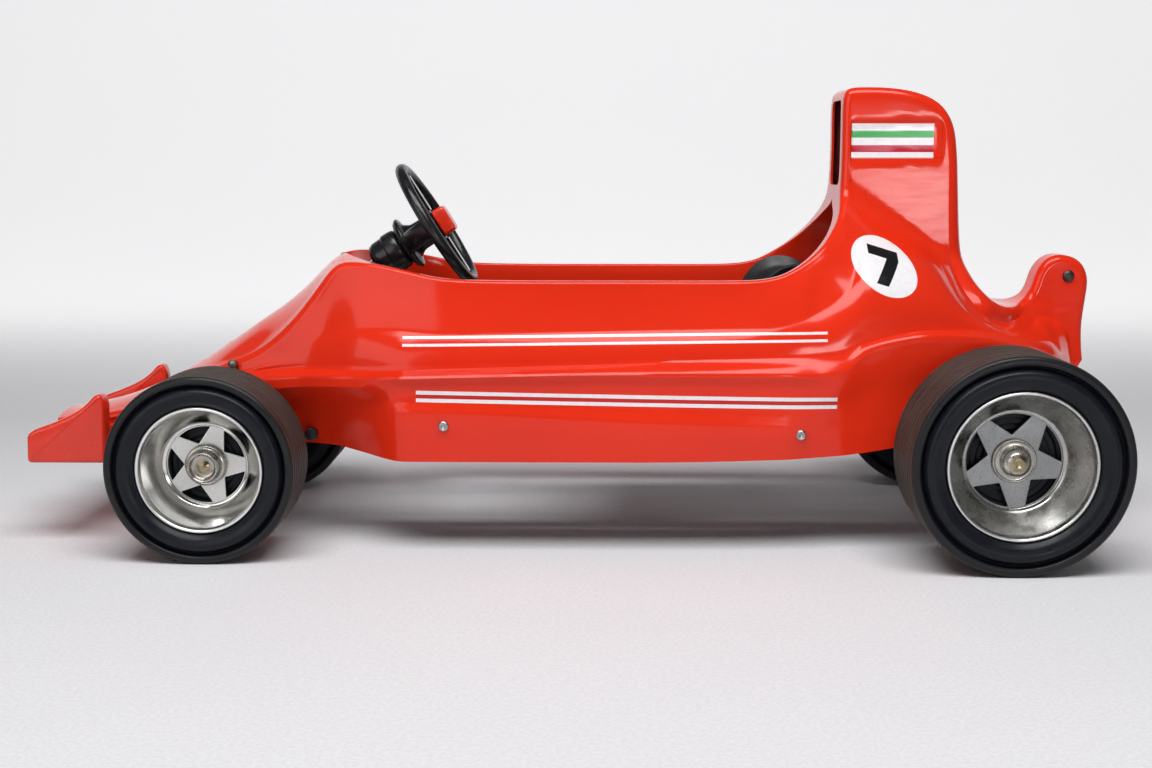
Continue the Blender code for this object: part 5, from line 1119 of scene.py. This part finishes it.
class PEDALCAR_OT_steering(PieceOperator, bpy.types.Operator):
    """Build the steering wheel with its spokes, silver strips, hub block and boss"""
    bl_idname = "pedal_car.steering"
    bl_label = "Steering Wheel"

    def build(self, body, wheels, steering):
        black = black_plastic("wheel_black_plastic", tuple(steering.black), 0.26)
        silver = satin_metal("strip_silver", (0.72, 0.72, 0.73), 0.30, 0.1)
        turn = np.linspace(0, math.tau, 96, endpoint=False)
        path = on_wheel(steering.ring * np.cos(turn), steering.ring * np.sin(turn), 0.0)
        ring = swept_tube("steering_wheel_surface", path, steering.tube, 24, closed=True,
                          squash_along=tuple(COLUMN))
        parts = []
        for side in (-1, 1):
            spoke = on_wheel(side * np.linspace(0.010, steering.ring - 0.003, 12), 0.0, -0.0012)
            parts.append(swept_tube(f"flat_spoke_{side}", spoke, 0.0034, 20, flat=4.2))
            out = side * np.array([steering.ring - 0.001, 0.074, 0.058, 0.036, 0.006])
            arch = smooth_path(on_wheel(0.0, out, np.array([-0.001, -0.016, -0.030, -0.040, -0.043])), 28)
            parts.append(swept_tube(f"side_spoke_{side}", arch, 0.0044, 20, flat=3.0,
                                    squash_along=tuple(ACROSS_DOWN)))
        dish = fillet([(0.0, -0.0500), (0.0300, -0.0490), (0.0345, -0.0440), (0.0345, -0.0405),
                       (0.0240, -0.0380), (0.0185, -0.0300), (0.0175, -0.0010), (0.0150, 0.0018),
                       (0.0, 0.0020)], 0.003, 4)
        parts.append(turned_piece("wheel_dish", dish, WHEEL_CENTRE, COLUMN, 64))
        settle(join_pieces(ring, parts), "steering", "wheel_black_plastic", black, ("steering_wheel",),
               angle=45)
        boss = fillet([(0.0072, -0.0505), (0.0225, -0.0505), (0.0255, -0.0540), (0.0262, -0.0600),
                       (0.0262, -0.0700), (0.0246, -0.0706), (0.0240, -0.0840), (0.0215, -0.0900),
                       (0.0160, -0.0930), (0.0072, -0.0930)], 0.0020, 4, closed=True)
        sleeve = turned_piece("steering_boss_surface", boss, WHEEL_CENTRE, COLUMN, 64, closed=True)
        settle(sleeve, "steering", "wheel_black_plastic", black, ("steering_boss",), angle=45)
        self.block(body)
        for name, side in (("upper", -1), ("lower", 1)):
            path = on_wheel(side * np.linspace(0.0205, 0.0705, 16), 0.0, 0.0034)
            strip = swept_tube(f"spoke_strip_{name}_surface", path, 0.0011, 16, flat=6.6)
            settle(strip, "steering", "strip_silver", silver, (f"spoke_strip_{name}",), angle=45)

    def block(self, body):
        """The hub block: a box blown towards a ball, point = half size * sign * |c| ** 0.30."""
        lat = np.linspace(-math.pi / 2, math.pi / 2, 41)[:, None]
        lon = np.linspace(0, math.tau, 80, endpoint=False)[None]
        def power(value):
            return np.sign(value) * np.abs(value) ** 0.30
        down = 0.0185 * power(np.cos(lat)) * power(np.cos(lon))
        right = 0.0170 * power(np.cos(lat)) * power(np.sin(lon))
        height = 0.0112 + 0.0090 * power(np.sin(lat)) * np.ones_like(lon)
        points = on_wheel(down * (1 - 0.06 * height / 0.02), right, height)
        block = make_mesh("steering_hub_cap_surface", points, grid_faces(41, 80, False, True), weld=0.00002,
                          outward=True)
        settle(block, "steering", "hub_block_red", plain_red(body, "hub_block_red", 1.05, 0.30),
               ("steering_hub_cap",), angle=60)


class PEDALCAR_OT_seat(PieceOperator, bpy.types.Operator):
    """Build the driver's moulded bucket with its rolled back"""
    bl_idname = "pedal_car.seat"
    bl_label = "Seat"

    def build(self, body, wheels, steering):
        place = np.array([(-0.030, 0.2120), (-0.020, 0.2200), (0.040, 0.2140), (0.130, 0.2080),
                          (0.185, 0.2120), (0.215, 0.2300), (0.236, 0.2620), (0.252, 0.2920),
                          (0.262, 0.3060), (0.276, 0.3110), (0.290, 0.3070), (0.297, 0.2970)])
        half = np.array([0.085, 0.100, 0.112, 0.114, 0.112, 0.108, 0.103, 0.098, 0.092, 0.088, 0.084, 0.080])
        known = np.arange(len(place), dtype=float)
        where = np.linspace(0, len(place) - 1, 89)
        line = np.stack([smooth_curve(known, place[:, column], where) for column in (0, 1)], axis=1)
        x, z = soften(line, 2.5).T
        wide = smooth_curve(known, half, where)
        share = np.sin(np.linspace(-math.pi / 2, math.pi / 2, 49))
        lift = smooth_curve([0.0, 0.70, 0.90, 1.0], [0.0, 0.0015, 0.010, 0.0245], np.abs(share))
        lift = lift + 0.0010 * np.cos(share * math.tau * 3) * (np.abs(share) < 0.75)
        slope_x, slope_z = np.gradient(x), np.gradient(z)
        length = np.hypot(slope_x, slope_z)
        points = np.stack([x[:, None] - (slope_z / length)[:, None] * lift[None],
                           share[None] * wide[:, None],
                           z[:, None] + (slope_x / length)[:, None] * lift[None]], axis=-1)
        seat = make_mesh("seat_moulding_surface", points, grid_faces(len(x), len(share)))
        wall = seat.modifiers.new("Wall", "SOLIDIFY")
        wall.thickness = 0.0038
        wall.offset = 0.0
        edge = seat.modifiers.new("Edge", "BEVEL")
        edge.width = 0.0009
        edge.segments = 2
        edge.limit_method = "ANGLE"
        edge.angle_limit = math.radians(60)
        apply_modifiers(seat)
        plastic = black_plastic("seat_plastic", (0.014, 0.014, 0.016), 0.42, 300.0, 0.3)
        settle(seat, "chassis", "seat_plastic", plastic, ("seat_moulding",), angle=50)


class PEDALCAR_OT_fittings(PieceOperator, bpy.types.Operator):
    """Build the small fittings: screws with cup washers and the fin bolt"""
    bl_idname = "pedal_car.fittings"
    bl_label = "Fittings"

    def build(self, body, wheels, steering):
        steel = satin_metal("screw_steel", (0.50, 0.50, 0.50), 0.30, 0.5)
        section = fillet([(0.0, 0.0012), (0.0016, 0.0012), (0.0024, 0.0024), (0.0036, 0.0018),
                          (0.0042, 0.0026), (0.0058, 0.0014), (0.0063, 0.0), (0.0, 0.0)], 0.0007, 3)
        for end in ("front", "rear"):
            for side, sign in SIDES:
                name = f"body_screw_{end}_{side}"
                low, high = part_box(name)
                middle = (low + high) / 2
                y = high.y if sign < 0 else low.y
                screw = turned_piece(name + "_surface", section, (middle.x, y, middle.z), (0, sign, 0), 40)
                settle(screw, "chassis", "screw_steel", steel, (name,), angle=50)
        head = [(0.0, 0.0264), (0.0040, 0.0262), (0.0068, 0.0248), (0.0078, 0.0229), (0.0040, 0.0229)]
        bolt = fillet(head + [(radius, -height) for radius, height in reversed(head)], 0.0012, 3)
        metal = satin_metal("dark_bolt", (0.10, 0.085, 0.080), 0.42, 0.4)
        settle(turned_piece("tail_fin_bolt_surface", bolt, FIN_BOLT, (0, 1, 0), 40), "chassis", "dark_bolt",
               metal, ("tail_fin_bolt",), angle=50)


class PEDALCAR_OT_running_gear(PieceOperator, bpy.types.Operator):
    """Give the frame, steering rods, axle and pedals their finishes"""
    bl_idname = "pedal_car.running_gear"
    bl_label = "Running Gear Finishes"

    def build(self, body, wheels, steering):
        paint = frame_paint()
        steel = satin_metal("plain_steel", (0.50, 0.50, 0.50), 0.34, 0.5)
        finishes = {
            "kingpin_": satin_metal("kingpin_metal", (0.20, 0.17, 0.14), 0.42, 0.4),
            "rear_bearing_": black_plastic("bearing_nylon", (0.58, 0.57, 0.52), 0.45),
            "intake_liner": black_plastic("liner_grey", (0.11, 0.11, 0.12), 0.5),
            "pedal_pad_": black_plastic("pad_rubber", (0.016, 0.016, 0.017), 0.62, 260.0, 0.4),
            "pivot_cap_": black_plastic("cap_black_plastic", (0.012, 0.011, 0.011), 0.38),
            "steering_column": plating("column_chrome", (0.82, 0.83, 0.84), 0.12),
            "push_rod_": steel, "rear_axle": steel, "tie_rod": steel, "pedal_pivot_rod": steel,
        }
        kept = ("frame_rail_", "front_axle_beam", "body_bracket_", "knuckle_", "column_post", "pedal_lever_",
                "seat_crossbar")
        for name, node in NODES.items():
            for start, finish in {**finishes, **{key: paint for key in kept}}.items():
                if name.startswith(start):
                    node.data.materials.clear()
                    node.data.materials.append(finish)


class PEDALCAR_OT_stage(PieceOperator, bpy.types.Operator):
    """Build the pale floor and backdrop, the studio lights and the camera"""
    bl_idname = "pedal_car.stage"
    bl_label = "Stage"

    def build(self, body, wheels, steering):
        run = fillet([(-6.0, 0.0), (4.0, 0.0), (5.2, 3.6)], 1.6, 24)
        across = np.linspace(-8.0, 8.0, 9)
        points = np.stack(np.broadcast_arrays(across[None, :], run[:, :1], run[:, 1:]), axis=-1)
        floor = make_mesh("studio_floor", points, grid_faces(len(run), len(across))[:, ::-1])
        g = Graph("floor_paper", (0.80, 0.80, 0.83), 0.85)
        weave = g.noise(230.0, 4.0, 0.7)
        cloud = g.noise(2.2, 3.0)
        tone = g.mix(g.spread(weave, 0.38, 0.62), (0.84, 0.84, 0.865), (0.93, 0.93, 0.95))
        shadow = g.math("MULTIPLY", g.spread(cloud, 0.3, 0.7), 0.25)
        g.set("Base Color", g.mix(shadow, tone, (0.80, 0.80, 0.84)))
        # painted light: the floor glows more and more from 0.55 m to 3 m behind, so the far floor and
        # backdrop read white while the shade under the car stays dark
        g.set("Emission Color", (1.0, 1.0, 1.0))
        g.set("Emission Strength", g.spread(g.y, 0.55, 3.0, 0.0, 0.58, smooth=True))
        g.bump(weave, 0.5, 0.0016)
        floor.data.shade_smooth()
        floor.data.materials.append(g.material)
        car = bpy.data.collections.new("car_pieces")
        for obj in bpy.context.scene.objects:
            if obj.type == "MESH" and obj != floor:
                car.objects.link(obj)
        white, warm = (1.0, 1.0, 1.0), (1.0, 0.99, 0.98)
        for name, place, target, size, power, colour, only_car in (
                ("top_light", (0.0, -1.20, 2.4), (0.0, 0.15, 0.2), (2.4, 1.3), 64.0, white, False),
                ("front_light", (-2.1, -2.7, 1.1), (-0.3, 0.0, 0.22), (2.6, 1.8), 22.0, warm, True),
                ("side_light", (1.03, -2.6, 0.38), (0.45, 0.0, 0.38), (0.42, 0.34), 5.0, white, True)):
            lamp = bpy.data.lights.new(name, "AREA")
            lamp.shape = "RECTANGLE"
            lamp.size, lamp.size_y = size
            lamp.energy = power
            lamp.color = colour
            obj = bpy.data.objects.new(name, lamp)
            bpy.context.scene.collection.objects.link(obj)
            obj.location = place
            obj.rotation_euler = (Vector(target) - Vector(place)).to_track_quat("-Z", "Y").to_euler()
            if only_car:
                obj.light_linking.receiver_collection = car
        world = bpy.data.worlds.new("studio_air")
        bpy.context.scene.world = world
        world.use_nodes = True
        air = world.node_tree.nodes["Background"]
        air.inputs["Color"].default_value = (0.97, 0.97, 1.0, 1.0)
        air.inputs["Strength"].default_value = 0.10
        bpy.context.scene.view_settings.view_transform = "Standard"
        camera = bpy.data.cameras.new("studio_camera")
        camera.lens = 47.02
        camera.sensor_width = 36.0
        obj = bpy.data.objects.new("studio_camera", camera)
        bpy.context.scene.collection.objects.link(obj)
        obj.location = (0.0285, -1.9191, 0.4632)
        yaw, pitch = -0.0111, 0.149
        ahead = Vector((math.sin(yaw) * math.cos(pitch), math.cos(yaw) * math.cos(pitch), -math.sin(pitch)))
        obj.rotation_euler = ahead.to_track_quat("-Z", "Y").to_euler()
        bpy.context.scene.camera = obj


OPERATORS = (PEDALCAR_OT_body, PEDALCAR_OT_wing, PEDALCAR_OT_wheels, PEDALCAR_OT_steering, PEDALCAR_OT_seat,
             PEDALCAR_OT_fittings, PEDALCAR_OT_running_gear, PEDALCAR_OT_stage)


class PEDALCAR_PT_panel(bpy.types.Panel):
    """The car's settings and one button for each group of pieces"""
    bl_idname = "PEDALCAR_PT_panel"
    bl_label = "Pedal Racing Car"
    bl_space_type = "VIEW_3D"
    bl_region_type = "UI"
    bl_category = "Pedal Car"

    def draw(self, context):
        for group in settings_of(context):
            box = self.layout.box()
            for name in group.__annotations__:
                box.prop(group, name)
        for operator in OPERATORS:
            self.layout.operator(operator.bl_idname)


GROUPS = (PedalCarBodySettings, PedalCarWheelSettings, PedalCarSteeringSettings)


def register():
    for item in (*GROUPS, *OPERATORS, PEDALCAR_PT_panel):
        bpy.utils.register_class(item)
    bpy.types.Scene.pedal_car_body = PointerProperty(type=PedalCarBodySettings)
    bpy.types.Scene.pedal_car_wheels = PointerProperty(type=PedalCarWheelSettings)
    bpy.types.Scene.pedal_car_steering = PointerProperty(type=PedalCarSteeringSettings)


def unregister():
    for name in ("pedal_car_body", "pedal_car_wheels", "pedal_car_steering"):
        delattr(bpy.types.Scene, name)
    for item in reversed((*GROUPS, *OPERATORS, PEDALCAR_PT_panel)):
        bpy.utils.unregister_class(item)


def main():
    register()
    bpy.ops.pedal_car.body()
    bpy.ops.pedal_car.wing()
    bpy.ops.pedal_car.wheels()
    bpy.ops.pedal_car.steering()
    bpy.ops.pedal_car.seat()
    bpy.ops.pedal_car.fittings()
    bpy.ops.pedal_car.running_gear()
    bpy.ops.pedal_car.stage()
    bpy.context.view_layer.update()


if __name__ == "__main__":
    main()
